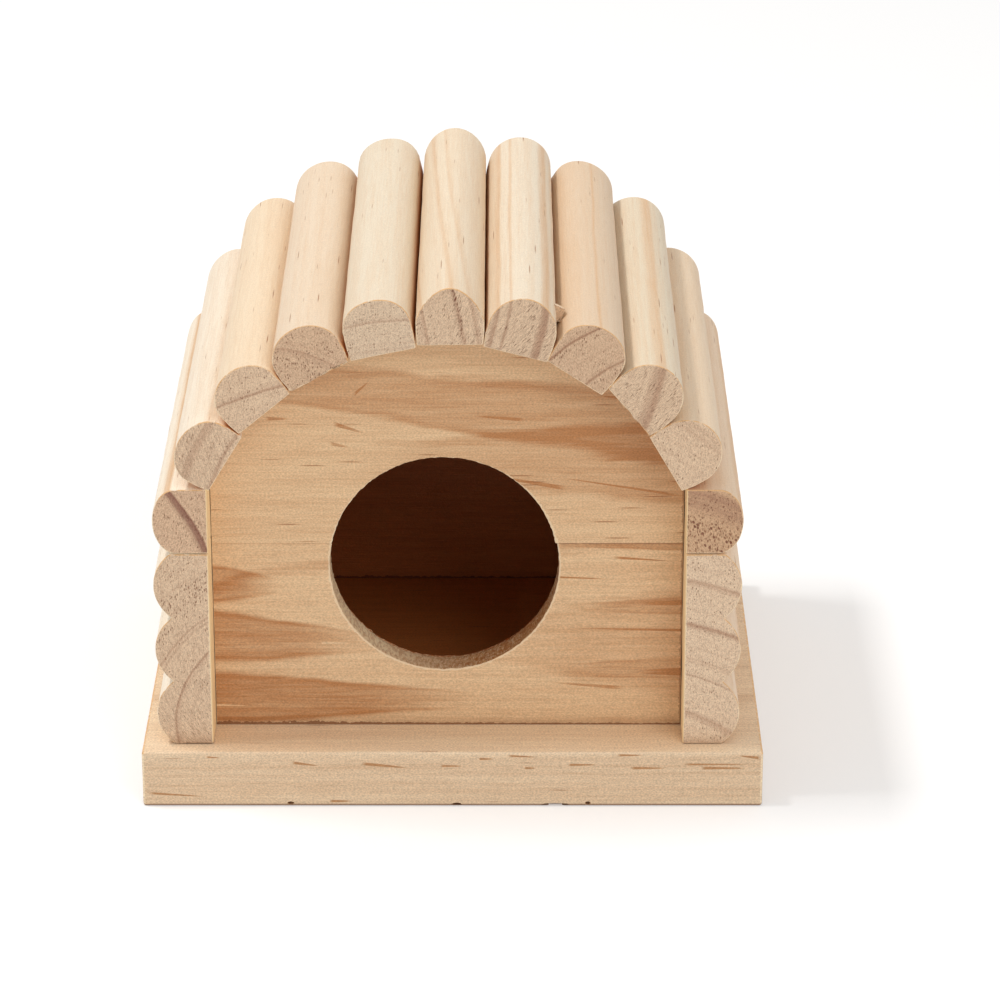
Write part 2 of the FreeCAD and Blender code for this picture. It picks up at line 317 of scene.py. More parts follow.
# %% Dent and tear
def unevenness(piece, grain, strength, group="", direction="NORMAL"):
    """Dents the surface inwards by up to strength, or moves it both ways along X or Z.

    grain is the size of the dents."""
    texture = bpy.data.textures.new(piece.name + "_unevenness", "CLOUDS")
    texture.noise_scale = grain
    dents = piece.modifiers.new("unevenness", "DISPLACE")
    dents.texture = texture
    dents.strength = strength
    dents.direction = direction
    dents.mid_level = 1 if direction == "NORMAL" else 0.5
    dents.vertex_group = group
    apply(dents)


def tear(test, depth, seed):
    """Pulls the vertices that pass the test about at random."""
    edit()
    pick_vertices(test)
    bpy.ops.transform.vertex_random(offset=depth, uniform=1, normal=0, seed=seed)
    leave_edit()


# %% [markdown]
# ## Drilled holes
#
# Nails need holes, and the door is one. They are cut as on the bench: a bit of the
# right size is put at each place, the bits are joined, and one boolean takes them all
# out of the wood. A bit that is stretched first leaves an oval, which serves for chips.

# %% Drill
def drill(piece, places, radius, depth, facing="Z", sides=16, widths=()):
    """Drills a hole centred at each place, along Y or Z, oval where widths are given."""
    turn = (pi / 2, 0, 0) if facing == "Y" else (0, 0, 0)
    bits = []
    for number, place in enumerate(places):
        bpy.ops.mesh.primitive_cylinder_add(
            vertices=sides, radius=radius, depth=depth, location=place, rotation=turn
        )
        if widths:
            bpy.ops.transform.resize(value=(widths[number] / radius / 2, 1, 1))
        bits.append(active())
    choose(bits[0])
    for bit in bits:
        bit.select_set(True)
    if len(bits) > 1:
        bpy.ops.object.join()
    hole = piece.modifiers.new("hole", "BOOLEAN")
    hole.object = bits[0]
    hole.operation = "DIFFERENCE"
    hole.solver = "EXACT"
    choose(piece)
    apply(hole)
    bpy.data.objects.remove(bits[0])


# %% [markdown]
# ## Finishing a piece
#
# A finished piece is shaded smooth, except over its edges. It gets its wood, the solid of
# the model that it stands for is hidden, and it is hung on the body that carries it.

# %% Dress a piece
smooth_angle = radians(50)


def smooth(piece):
    """Shades the piece smooth, while its large faces stay flat."""
    choose(piece)
    bpy.ops.object.shade_smooth_by_angle(angle=smooth_angle)
    flatten = piece.modifiers.new("flat faces", "WEIGHTED_NORMAL")
    flatten.keep_sharp = True
    apply(flatten)


def dress(piece, node, material):
    """Shades the piece, gives it its wood, hides its solid and hangs it on its body."""
    smooth(piece)
    piece.data.materials.clear()
    piece.data.materials.append(material)
    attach(piece, "root")
    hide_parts(node)
    print(f"{piece.name}: {len(piece.data.polygons)} faces")


# %% [markdown]
# ## Pine, from the inside
#
# Bare pine shows how a tree grows. Each year adds a pale ring and a thin dark one, and
# the saw cuts through both, so a round back and a sawn end show the same rings from
# two sides. A picture laid over a batten would break at its edges, so the wood here is
# solid: it knows each point's distance from the middle of the tree, and the mesh only
# says where the saw went.
#
# Such a material has many nodes. A few helpers keep that short: each adds one node,
# sets or links its inputs and gives back its output.

# %% Colours and single nodes
def shade(red, green, blue):
    """A colour as a screen shows it, 0 to 255, turned into the linear one nodes take."""
    linear = []
    for value in (red, green, blue):
        part = value / 255
        linear.append(part / 12.92 if part <= 0.04045 else ((part + 0.055) / 1.055) ** 2.4)
    return (*linear, 1)


def put(tree, kind, inputs, **settings):
    """Adds a node. Its inputs are values to set or sockets to link."""
    node = tree.nodes.new("ShaderNode" + kind)
    for name, setting in settings.items():
        setattr(node, name, setting)
    for name, value in inputs.items():
        if isinstance(value, bpy.types.NodeSocket):
            tree.links.new(value, node.inputs[name])
        else:
            node.inputs[name].default_value = value
    return node


def calc(tree, operation, *values, clamp=False):
    inputs = dict(enumerate(values))
    return put(tree, "Math", inputs, operation=operation, use_clamp=clamp).outputs[0]


def calc_vector(tree, operation, *values):
    inputs = dict(enumerate(values))
    return put(tree, "VectorMath", inputs, operation=operation).outputs["Vector"]


# %% [markdown]
# Wood is made of soft steps, mixes, noise and scattered spots. Noise is stretched
# along the grain by dividing the place by a size in mm, long one way. Voronoi cells do
# for the spots: each cell has a point, and a random colour that says whether the point
# shows.

# %% Steps, noise and spots
def rise(tree, value, start, end, top=1):
    """0 below start, top above end, with a soft step between."""
    inputs = {"Value": value, "From Min": start, "From Max": end, "To Max": top}
    return put(tree, "MapRange", inputs, interpolation_type="SMOOTHSTEP").outputs[0]


def mix(tree, factor, first, second, blend="MIX"):
    inputs = {0: factor, 6: first, 7: second}
    return put(tree, "Mix", inputs, data_type="RGBA", blend_type=blend).outputs[2]


def noise(tree, position, size, detail=2):
    """Noise from 0 to 1 in patches of a size in mm, which may be long one way."""
    steps = calc_vector(tree, "DIVIDE", position, size)
    return put(tree, "TexNoise", {"Vector": steps, "Scale": 1, "Detail": detail}).outputs["Fac"]


def around_zero(tree, value):
    return calc(tree, "SUBTRACT", value, 0.5)


def scattered(tree, position, size, share, rim, core):
    """Spots in a share of cells of a size in mm, full within core and gone beyond rim."""
    steps = calc_vector(tree, "DIVIDE", position, size)
    cells = put(tree, "TexVoronoi", {"Vector": steps, "Scale": 1}).outputs
    chance = put(tree, "SeparateColor", {0: cells["Color"]}).outputs[0]
    shows = calc(tree, "LESS_THAN", chance, share)
    return calc(tree, "MULTIPLY", rise(tree, cells["Distance"], rim, core), shows)


def along_grain(tree, position):
    return put(tree, "SeparateXYZ", {0: position}).outputs["Y"]


# %% [markdown]
# What many materials share goes into a node group, a small tree with inputs and outputs
# of its own that stands in other trees as one node.

# %% Groups of nodes
def new_group(name, inputs, outputs):
    """An empty node group, and its input and output nodes."""
    tree = bpy.data.node_groups.new(name, "ShaderNodeTree")
    for direction, sockets in (("INPUT", inputs), ("OUTPUT", outputs)):
        for socket, kind in sockets.items():
            tree.interface.new_socket(socket, in_out=direction, socket_type="NodeSocket" + kind)
    given = tree.nodes.new("NodeGroupInput").outputs
    result = tree.nodes.new("NodeGroupOutput").inputs
    return tree, given, result


def put_group(tree, group, inputs):
    """Adds a node that stands for a whole group, and sets or links its inputs."""
    node = tree.nodes.new("ShaderNodeGroup")
    node.node_tree = group
    for name, value in inputs.items():
        if isinstance(value, bpy.types.NodeSocket):
            tree.links.new(value, node.inputs[name])
        else:
            node.inputs[name].default_value = value
    return node


# %% [markdown]
# The middle of the tree is a line that runs nearly along the grain. A point's distance
# from it says which ring it lies in. Wandering that distance a little, slowly along
# the grain and faster across it, bends the rings as knots and wind do.

# %% Rings of a tree
def make_rings():
    tree, given, result = new_group(
        "rings_of_a_tree",
        {"Position": "Vector", "Middle": "Vector", "Lean": "Vector", "Wander": "Float"},
        {"Distance": "Float", "Around": "Float"},
    )
    position = given["Position"]
    leaning = {"Vector": given["Lean"], "Scale": along_grain(tree, position)}
    drift = put(tree, "VectorMath", leaning, operation="SCALE").outputs[0]
    middle = calc_vector(tree, "ADD", given["Middle"], drift)
    from_middle = calc_vector(tree, "SUBTRACT", position, middle)
    parts = put(tree, "SeparateXYZ", {0: from_middle}).outputs
    flat = put(tree, "CombineXYZ", {"X": parts["X"], "Z": parts["Z"]}).outputs[0]
    length = put(tree, "VectorMath", {0: flat}, operation="LENGTH").outputs["Value"]
    slow = around_zero(tree, noise(tree, position, (14, 60, 14), 1))
    quick = around_zero(tree, noise(tree, position, (2.5, 22, 2.5), 2))
    quick = calc(tree, "MULTIPLY", quick, 0.3)
    wander = calc(tree, "MULTIPLY", calc(tree, "ADD", slow, quick), given["Wander"])
    tree.links.new(calc(tree, "ADD", length, wander), result["Distance"])
    turn = calc(tree, "ARCTAN2", parts["X"], parts["Z"])
    tree.links.new(calc(tree, "MULTIPLY", turn, length), result["Around"])
    return tree


rings_group = make_rings()


# %% [markdown]
# Where a board is cut almost along a ring, the dark wood doesn't show as a line but as
# a flame, a long tongue that ends in a point. A flame is a width that shrinks to
# nothing at its tip, and its darkness comes in slowly behind the tip.

# %% Flames
bluntness = 0.6  # 1 makes the tip a straight wedge, less makes it rounder
raggedness = 0.55  # how far noise moves the rim, as a share of the half width


def make_flame():
    tree, given, result = new_group(
        "flame",
        {
            "Position": "Vector", "Tip": "Vector", "Length": "Float", "Width": "Float",
            "Slope": "Float", "Ragged": "Float", "Lines": "Float",
        },
        {"Amount": "Float"},
    )
    position = given["Position"]
    from_tip = calc_vector(tree, "SUBTRACT", position, given["Tip"])
    from_tip = put(tree, "SeparateXYZ", {0: from_tip}).outputs
    back = calc(tree, "DIVIDE", from_tip["Y"], calc(tree, "MULTIPLY", given["Length"], -1))
    reach = calc(tree, "POWER", calc(tree, "MAXIMUM", back, 0.0001), bluntness)
    middle = calc(tree, "MULTIPLY", from_tip["Y"], given["Slope"])
    across = calc(tree, "ABSOLUTE", calc(tree, "SUBTRACT", from_tip["Z"], middle))
    share = calc(tree, "DIVIDE", across, calc(tree, "MULTIPLY", reach, given["Width"]))
    share = calc(tree, "MULTIPLY_ADD", given["Ragged"], -raggedness, share)
    inside = rise(tree, share, 1.1, 0.8)
    rim = calc(tree, "MULTIPLY", rise(tree, share, 0.6, 0.85), 0.35)
    amount = calc(tree, "MULTIPLY", inside, calc(tree, "ADD", given["Lines"], rim))
    before_end = rise(tree, back, 1.2, 0.95)
    behind_tip = rise(tree, back, 0, 0.5)
    amount = calc(tree, "MULTIPLY", amount, calc(tree, "MULTIPLY", before_end, behind_tip))
    tree.links.new(amount, result["Amount"])
    return tree


flame_group = make_flame()


def add_flames(tree, position, flames):
    """The darkness of all flames of a piece, each (tip, length, width, slope, depth).

    They share the noise that makes their rims ragged and their wood lined."""
    ragged = around_zero(tree, noise(tree, position, (3, 16, 3), 3))
    lines = noise(tree, position, (0.5, 24, 0.5), 2)
    lines = calc(tree, "MULTIPLY_ADD", lines, 0.45, 0.62)
    shared = {"Position": position, "Ragged": ragged, "Lines": lines}
    dark = 0
    for tip, length, width, slope, depth in flames:
        own = {"Tip": (0, *tip), "Length": length, "Width": width, "Slope": slope}
        flame = put_group(tree, flame_group, {**own, **shared})
        dark = calc(tree, "MULTIPLY_ADD", flame.outputs["Amount"], depth, dark)
    return dark


# %% [markdown]
# Along the grain there are fibres, streaks and threads of three widths, and short
# brown dashes where a resin duct comes to the surface, with finer hairs between them.

# %% Along the grain
resin_brown = shade(160, 98, 50)


def long_grain(tree, given, fibres, yearly):
    """The colour of the wood along its grain, and its resin dashes."""
    position = given["Position"]
    streaks = around_zero(tree, noise(tree, position, (1.8, 60, 1.8), 3))
    threads = around_zero(tree, noise(tree, position, (0.45, 45, 0.45), 2))
    soft = calc(tree, "MULTIPLY_ADD", streaks, 0.6, calc(tree, "MULTIPLY", yearly, 0.3))
    fine = calc(tree, "MULTIPLY_ADD", threads, 0.5, fibres)
    fine = calc(tree, "MULTIPLY_ADD", fine, 0.6, soft)
    fine = calc(tree, "MULTIPLY_ADD", fine, given["Grain"], 0.12)
    dark = calc(tree, "ADD", given["Rings"], given["Flames"])
    late = calc(tree, "ADD", dark, fine, clamp=True)
    wood = mix(tree, late, given["Pale"], given["Late"])

    share = calc(tree, "MULTIPLY_ADD", given["Rings"], 0.25, given["Dashes"])
    dashes = scattered(tree, position, (1.1, 26, 1.1), share, 0.15, 0.06)
    hair_share = calc(tree, "MULTIPLY", given["Dashes"], 0.35)
    hairs = scattered(tree, position, (0.7, 12, 0.7), hair_share, 0.2, 0.08)
    dashes = calc(tree, "MAXIMUM", dashes, calc(tree, "MULTIPLY", hairs, 0.6))
    return mix(tree, calc(tree, "MULTIPLY", dashes, 0.8), wood, resin_brown), dashes


# %% [markdown]
# On a sawn end the same ducts are dots, the saw leaves fine lines across the rings, and
# the open cells drink in light, so it is greyer and darker. Its pattern doesn't follow
# X and Z but the rings: how far out a point lies, and how far round.

# %% The sawn end
pore_brown = shade(136, 74, 36)
deep_brown = shade(112, 46, 16)


def sawn_end(tree, given, yearly):
    """The colour of the end grain, and how deep its cells and pores are."""
    position = given["Position"]
    parts = {"X": given["Around"], "Y": along_grain(tree, position), "Z": given["Distance"]}
    in_rings = put(tree, "CombineXYZ", parts).outputs[0]
    cells = rise(tree, noise(tree, in_rings, (0.2, 1.5, 0.4), 2), 0.52, 0.66)
    saw_lines = rise(tree, noise(tree, in_rings, (0.22, 30, 2.4), 1), 0.52, 0.68)
    saw_lines = calc(tree, "MULTIPLY", saw_lines, given["Saw"])
    crowd = rise(tree, noise(tree, position, (2.6, 9, 2.6), 1), 0.42, 0.62)
    open_share = calc(tree, "MULTIPLY_ADD", crowd, given["Pores"], given["Coarse"])
    pore_size = calc(tree, "MULTIPLY_ADD", given["Coarse"], 0.2, 0.34)
    pores = scattered(tree, in_rings, (0.42, 6, 0.75), open_share, pore_size, 0.12)
    wide_share = rise(tree, given["Coarse"], 0.65, 1, top=0.7)
    wide_pores = scattered(tree, in_rings, (0.95, 9, 1.05), wide_share, 0.36, 0.24)

    late = calc(tree, "MULTIPLY_ADD", yearly, 0.6, given["Rings"], clamp=True)
    end = mix(tree, late, given["End Pale"], given["End Late"])
    for layer, strength, brown in (
        (cells, 0.32, pore_brown), (saw_lines, 0.3, pore_brown),
        (pores, 0.75, pore_brown), (wide_pores, 0.8, deep_brown),
    ):
        end = mix(tree, calc(tree, "MULTIPLY", layer, strength), end, brown)

    dents = calc(tree, "MULTIPLY", calc(tree, "MAXIMUM", pores, wide_pores), -0.2)
    dents = calc(tree, "MULTIPLY_ADD", calc(tree, "ADD", cells, saw_lines), -0.05, dents)
    return end, dents


# %% [markdown]
# The surface puts both together: which way a face looks says whether it is an end. The
# sanded edge between the two is paler, partly as sanded wood is and partly as a painted
# highlight, or orange where it was sanded hard along the round. The same layers give the
# bump and the roughness, so a dark pore is also a dent.
# Only the flames stay out of the bump: they are many, and Cycles works a bump out three
# times over, which can fill the store that it has for one material.

# %% The surface of pine
# partly paler sanded wood, partly a painted highlight along the edges
pale_edge_highlight = shade(250, 226, 190)
orange_edge = shade(226, 180, 128)


def make_surface():
    tree, given, result = new_group(
        "pine_surface",
        {
            "Position": "Vector", "Normal": "Vector", "Up": "Float",
            "Distance": "Float", "Around": "Float", "Rings": "Float", "Flames": "Float",
            "Pale": "Color", "Late": "Color", "End Pale": "Color", "End Late": "Color",
            "Dashes": "Float", "Pores": "Float", "Coarse": "Float", "Saw": "Float",
            "Grain": "Float", "Speckle": "Float",
        },
        {"Color": "Color", "Roughness": "Float", "Height": "Float"},
    )
    position = given["Position"]
    fibres = around_zero(tree, noise(tree, position, (0.3, 8, 0.3), 3))
    speckle = around_zero(tree, noise(tree, position, (0.27, 0.45, 0.27), 2))
    years = {"W": given["Distance"], "Scale": 0.7, "Detail": 2}
    yearly = put(tree, "TexNoise", years, noise_dimensions="1D").outputs["Fac"]
    yearly = around_zero(tree, yearly)
    side, dashes = long_grain(tree, given, fibres, yearly)
    end, end_dents = sawn_end(tree, given, yearly)

    facing = calc(tree, "ABSOLUTE", along_grain(tree, given["Normal"]))
    is_end = rise(tree, facing, 0.75, 0.95)
    colour = mix(tree, is_end, side, end)
    edge_colour = mix(tree, rise(tree, given["Up"], 0, 0.25), pale_edge_highlight, orange_edge)
    off_side = rise(tree, facing, 0.1, 0.35)
    off_end = rise(tree, facing, 0.995, 0.9)
    on_edge = calc(tree, "MULTIPLY", off_side, off_end)
    worn = rise(tree, noise(tree, position, (1.2, 1.2, 1.2), 2), 0.25, 0.55)
    colour = mix(tree, calc(tree, "MULTIPLY", on_edge, worn), colour, edge_colour)
    strength = put(tree, "Mix", {0: is_end, 2: given["Speckle"], 3: 0.9}).outputs[0]
    light = calc(tree, "MULTIPLY_ADD", speckle, strength, 1)
    lit = {"Vector": colour, "Scale": light}
    colour = put(tree, "VectorMath", lit, operation="SCALE").outputs[0]
    tree.links.new(colour, result["Color"])

    dents = calc(tree, "MULTIPLY", calc(tree, "MULTIPLY_ADD", dashes, -0.8, fibres), 0.08)
    dents = calc(tree, "MULTIPLY", dents, calc(tree, "SUBTRACT", 1, is_end))
    height = calc(tree, "MULTIPLY_ADD", end_dents, is_end, dents)
    tree.links.new(calc(tree, "MULTIPLY_ADD", speckle, 0.05, height), result["Height"])
    tree.links.new(calc(tree, "MULTIPLY_ADD", fibres, 0.3, 0.6), result["Roughness"])
    return tree


surface_group = make_surface()
print(f"{surface_group.name}: {len(surface_group.nodes)} nodes")


# %% [markdown]
# The room behind the door gets painted shade: its faces are darkened and browned, as the
# shade inside a closed room would. This belongs to the place and not to a piece, so it
# comes from a test: a point lies in the room when it lies between the panels and its
# face looks towards the middle.

# %% Painted shade in the room
# painted shade: darkens and browns every face inside the room
room_shade_brown = shade(200, 134, 80)
front_face = low("front_panel_lower_board").y
back_face = high("back_panel_lower_board").y
room_middle = (middle_x, (front_face + back_face) / 2, 50 * mm)
shade_half_depth = 37 * mm
shade_half_width = 51.2 * mm


def make_room_shade():
    tree, given, result = new_group("painted_shade_of_the_room", {"Color": "Color"}, {"Color": "Color"})
    place = put(tree, "TexCoord", {}).outputs
    inwards = calc_vector(tree, "SUBTRACT", room_middle, place["Object"])
    both = {0: inwards, 1: place["Normal"]}
    facing = put(tree, "VectorMath", both, operation="DOT_PRODUCT").outputs["Value"]
    away = put(tree, "SeparateXYZ", {0: inwards}).outputs
    between_panels = calc(tree, "LESS_THAN", calc(tree, "ABSOLUTE", away["Y"]), shade_half_depth)
    between_walls = calc(tree, "LESS_THAN", calc(tree, "ABSOLUTE", away["X"]), shade_half_width)
    inside = calc(tree, "MULTIPLY", between_panels, between_walls)
    inside = calc(tree, "MULTIPLY", inside, rise(tree, facing, 5 * mm, 10 * mm))
    room_shaded = mix(tree, inside, given["Color"], room_shade_brown, blend="MULTIPLY")
    tree.links.new(room_shaded, result["Color"])
    return tree


room_shade_group = make_room_shade()


# %% [markdown]
# Three more things belong to a place, and the first is painted shade. Thin brown lines
# darken the corner where the house stands on its floor board, the corners beside a panel
# and its glue line, and the board's lowest edge, with a faint band just above the floor,
# where shade falls. A noise makes their width ragged. The line is thickest along the foot
# of a panel's left half, and thin under the walls.

# %% Painted shade in the corners
# painted shade: the brown that darkens corners, joints and the board's lowest edge
painted_shade_brown = shade(122, 72, 36)
foot_shade = 2 * mm
foot_shade_missing = 0.9 * mm  # on the right
wall_foot_share = 0.4
low_shade_height = 3 * mm
lowest_edge = 0.75 * mm  # of the floor board
wall_shade = 1.2 * mm
seam_shade = 0.6 * mm


def to_wall(tree, parts):
    """How far a place lies from the wall's inner face, on the room's side of it."""
    from_middle = calc(tree, "ABSOLUTE", calc(tree, "SUBTRACT", parts["X"], middle_x))
    return calc(tree, "SUBTRACT", room_half, from_middle)


def painted_corner_shade(tree, parts, ragged, panel):
    """How much painted shade a place gets, 0 to 1. panel is 1 on the boards of a panel."""
    above_floor = calc(tree, "SUBTRACT", parts["Z"], floor_top)
    off_floor = calc(tree, "GREATER_THAN", above_floor, 2 * touch)
    missing = rise(tree, parts["X"], -40 * mm, 20 * mm, top=foot_shade_missing)
    foot_width = calc(tree, "SUBTRACT", foot_shade, missing)
    share = calc(tree, "MULTIPLY_ADD", panel, 1 - wall_foot_share, wall_foot_share)
    foot_width = calc(tree, "MULTIPLY", foot_width, share)
    foot = calc(tree, "LESS_THAN", above_floor, calc(tree, "MULTIPLY", ragged, foot_width))
    foot = calc(tree, "MULTIPLY", foot, off_floor)
    low_shade = calc(tree, "MULTIPLY", rise(tree, above_floor, low_shade_height, 0, top=0.25), off_floor)
    under = rise(tree, parts["Z"], lowest_edge, 0.4 * lowest_edge, top=0.75)

    on_right = rise(tree, parts["X"], -10 * mm, 10 * mm, top=0.5)
    wall_width = calc(tree, "MULTIPLY", ragged, wall_shade)
    at_wall = calc(tree, "LESS_THAN", to_wall(tree, parts), wall_width)
    at_wall = calc(tree, "MULTIPLY", at_wall, on_right)
    from_seam = calc(tree, "ABSOLUTE", calc(tree, "SUBTRACT", parts["Z"], seam))
    at_seam = calc(tree, "LESS_THAN", from_seam, calc(tree, "MULTIPLY", ragged, seam_shade))
    at_seam = calc(tree, "MULTIPLY", at_seam, calc(tree, "MULTIPLY_ADD", on_right, 0.8, 0.05))
    on_panel = calc(tree, "MULTIPLY", calc(tree, "MAXIMUM", at_wall, at_seam), panel)
    shade_amount = calc(tree, "MAXIMUM", low_shade, under)
    shade_amount = calc(tree, "MAXIMUM", calc(tree, "MULTIPLY", foot, 0.85), shade_amount)
    return calc(tree, "MAXIMUM", shade_amount, on_panel)


# %% [markdown]
# The walls' inner faces stand before the front panel like the reveal of a window, and lie
# in shade. They get painted light: a pale, bright pine colour that stands in for more light.

# %% Painted light on the strip before the panel
# painted light: a bright colour on the shaded inner faces of the walls
painted_light_pine = shade(255, 226, 176)
lit_strip_margin = 0.3 * mm


def painted_light_strip(tree, parts, panel):
    """Painted light: 1 on the walls' inner faces before the front panel, 0 elsewhere."""
    before_panel = calc(tree, "LESS_THAN", parts["Y"], front_face)
    in_corner = calc(tree, "MULTIPLY", before_panel, calc(tree, "SUBTRACT", 1, panel))
    from_face = calc(tree, "ABSOLUTE", to_wall(tree, parts))
    lit_strip = calc(tree, "MULTIPLY", in_corner, calc(tree, "LESS_THAN", from_face, lit_strip_margin))
    lit_strip = calc(tree, "MULTIPLY", lit_strip, calc(tree, "LESS_THAN", parts["Z"], eaves))
    above_foot = calc(tree, "GREATER_THAN", parts["Z"], floor_top + lit_strip_margin)
    return calc(tree, "MULTIPLY", lit_strip, above_foot)


# %% [markdown]
# The hole saw that cut the door tore the wood of its wall. The wall is darker and mottled,
# partly as torn wood is and partly as painted shade, with pale threads. A pale fuzz at the
# rim is partly fuzzed wood and partly a painted highlight. The left half of the wall gets
# painted light, a pale colour that brightens it; the right half does not.

# %% The torn wall of the door, with painted light and shade
# partly torn wood, partly painted shade on the door's wall
torn_and_shaded_brown = shade(200, 153, 107)
# pale threads, and a painted highlight along the door's front rim
fuzz_and_highlight_pale = shade(246, 222, 186)
# painted light on the left half of the door's wall
painted_light_pale = shade(255, 226, 184)
wall_margin = 1.2 * mm  # outside the door's circle, where its rough wall still reaches
wall_depth = 20 * mm  # behind the panel's face, and so clear of the back panel
rim_skin = 0.12 * mm  # only what lies deeper than this is the door's wall
fuzz_highlight_reach = 1.1 * mm


def from_axis(tree, place, centre):
    """How far a place lies from a line along Y through centre."""
    away = calc_vector(tree, "SUBTRACT", place, centre)
    flat = calc_vector(tree, "MULTIPLY", away, (1, 0, 1))
    return put(tree, "VectorMath", {0: flat}, operation="LENGTH").outputs["Value"]


def torn_door_light_and_shade(tree, place, parts, ragged, panel, colour):
    """The colour, changed where a place lies on the door's wall or at its rim."""
    reach = from_axis(tree, place, door_centre)
    behind_face = calc(tree, "SUBTRACT", parts["Y"], front_face)
    below_skin = calc(tree, "GREATER_THAN", behind_face, rim_skin)
    in_depth = calc(tree, "LESS_THAN", behind_face, wall_depth)
    in_depth = calc(tree, "MULTIPLY", below_skin, in_depth)
    in_circle = calc(tree, "LESS_THAN", reach, door_radius + wall_margin)
    on_wall = calc(tree, "MULTIPLY", in_circle, in_depth)
    mottled = rise(tree, noise(tree, place, (0.6 * mm, 1.5 * mm, 0.6 * mm), 3), 0.34, 0.64)
    torn_and_shaded = calc(tree, "MULTIPLY", on_wall, calc(tree, "MULTIPLY_ADD", mottled, 0.45, 0.5))
    colour = mix(tree, torn_and_shaded, colour, torn_and_shaded_brown, blend="MULTIPLY")
    frayed = rise(tree, noise(tree, place, (0.4 * mm, 0.9 * mm, 0.4 * mm), 3), 0.52, 0.64)
    frayed = calc(tree, "MULTIPLY", calc(tree, "MULTIPLY", on_wall, frayed), 0.5)
    colour = mix(tree, frayed, colour, fuzz_and_highlight_pale)
    # painted light: brightens the left half of the door's wall
    on_left = calc(tree, "MULTIPLY", on_wall, rise(tree, parts["X"], 8 * mm, -22 * mm))
    painted_light_left = calc(tree, "MULTIPLY", on_left, calc(tree, "MULTIPLY_ADD", mottled, -0.6, 1.1))
    colour = mix(tree, painted_light_left, colour, painted_light_pale)

    # a pale ring at the door's front rim, partly fuzz and partly a painted highlight
    on_face = calc(tree, "MULTIPLY", calc(tree, "LESS_THAN", behind_face, rim_skin), panel)
    fuzz_highlight_radius = calc(tree, "MULTIPLY_ADD", ragged, fuzz_highlight_reach, door_radius)
    fuzz_and_highlight = calc(tree, "MULTIPLY", calc(tree, "LESS_THAN", reach, fuzz_highlight_radius), on_face)
    return mix(tree, calc(tree, "MULTIPLY", fuzz_and_highlight, 0.55), colour, fuzz_and_highlight_pale)


# %% [markdown]
# Painted shade in the corners, painted light on the strip before the panel and the torn
# wall of the door act on the finished colour of the wood, one after the other, in one
# group that every piece shares.

# %% Painted light, shade and wear that belong to a place
def make_painted_light_shade_and_wear():
    inputs = {"Color": "Color", "Panel": "Float"}
    tree, given, result = new_group("painted_light_shade_and_wear_in_place", inputs, {"Color": "Color"})
    place = put(tree, "TexCoord", {}).outputs["Object"]
    parts = put(tree, "SeparateXYZ", {0: place}).outputs
    ragged = noise(tree, place, (1.3 * mm, 0.9 * mm, 0.9 * mm), 3)
    ragged = calc(tree, "SUBTRACT", ragged, 0.15)
    panel = given["Panel"]
    # painted shade in the corners, at the seam and under the board
    shade_amount = painted_corner_shade(tree, parts, ragged, panel)
    colour = mix(tree, shade_amount, given["Color"], painted_shade_brown)
    # painted light on the walls' inner faces before the panel
    colour = mix(tree, painted_light_strip(tree, parts, panel), colour, painted_light_pine)
    colour = torn_door_light_and_shade(tree, place, parts, ragged, panel, colour)
    tree.links.new(colour, result["Color"])
    return tree


wear_group = make_painted_light_shade_and_wear()
print(f"{wear_group.name}: {len(wear_group.nodes)} nodes")


# %% [markdown]
# The rings that a piece shows are few, and each has its own distance, width and depth.
# A colour ramp turns the distance from the tree's middle into darkness: every ring is
# a hump in it, steeper on the outside, where the year ended.

# %% Dark rings
ring_reach = 120  # mm, the largest distance that the ramp covers


def ring_lines(tree, distance, rings):
    """Turns (distance, width, depth) of each dark ring into its darkness, 0 to 1."""
    share = calc(tree, "DIVIDE", distance, ring_reach)
    ramp = put(tree, "ValToRGB", {"Fac": share})
    stops = ramp.color_ramp.elements
    stops[-1].color = stops[0].color = (0, 0, 0, 1)
    for middle, width, depth in sorted(rings):
        for place, dark in ((-0.5, 0), (-0.15, 0.7 * depth), (0.35, depth), (0.5, 0)):
            stops.new((middle + place * width) / ring_reach).color = (dark, dark, dark, 1)
    return ramp.outputs[0]


# %% [markdown]
# The battens' sides are painted with shade towards the roof's grooves: an orange brown
# darkens them there, as the shade and warm bounce light in a groove would. The painted
# shade reaches a few millimetres out from the seats, which lie on a circle.

# %% Painted shade between the battens
# painted shade: darkens the battens' sides towards the grooves
groove_shade_brown = shade(232, 178, 122)


def between_battens(tree, place):
    """How deep a point lies in the grooves of the roof, 0 to 1."""
    reach = calc(tree, "SUBTRACT", from_axis(tree, place, arch_centre), seat_radius)
    above_seat = rise(tree, reach, 0.5 * mm, 0.9 * mm)
    return calc(tree, "MULTIPLY", above_seat, rise(tree, reach, 6.5 * mm, 3 * mm))


# %% [markdown]
# One function then cuts a piece from a tree: it takes where the middle of the tree
# lies, which rings are dark and how dark, and the colours of that tree. Boards that
# run from left to right are turned a quarter, because the groups take the grain as Y.

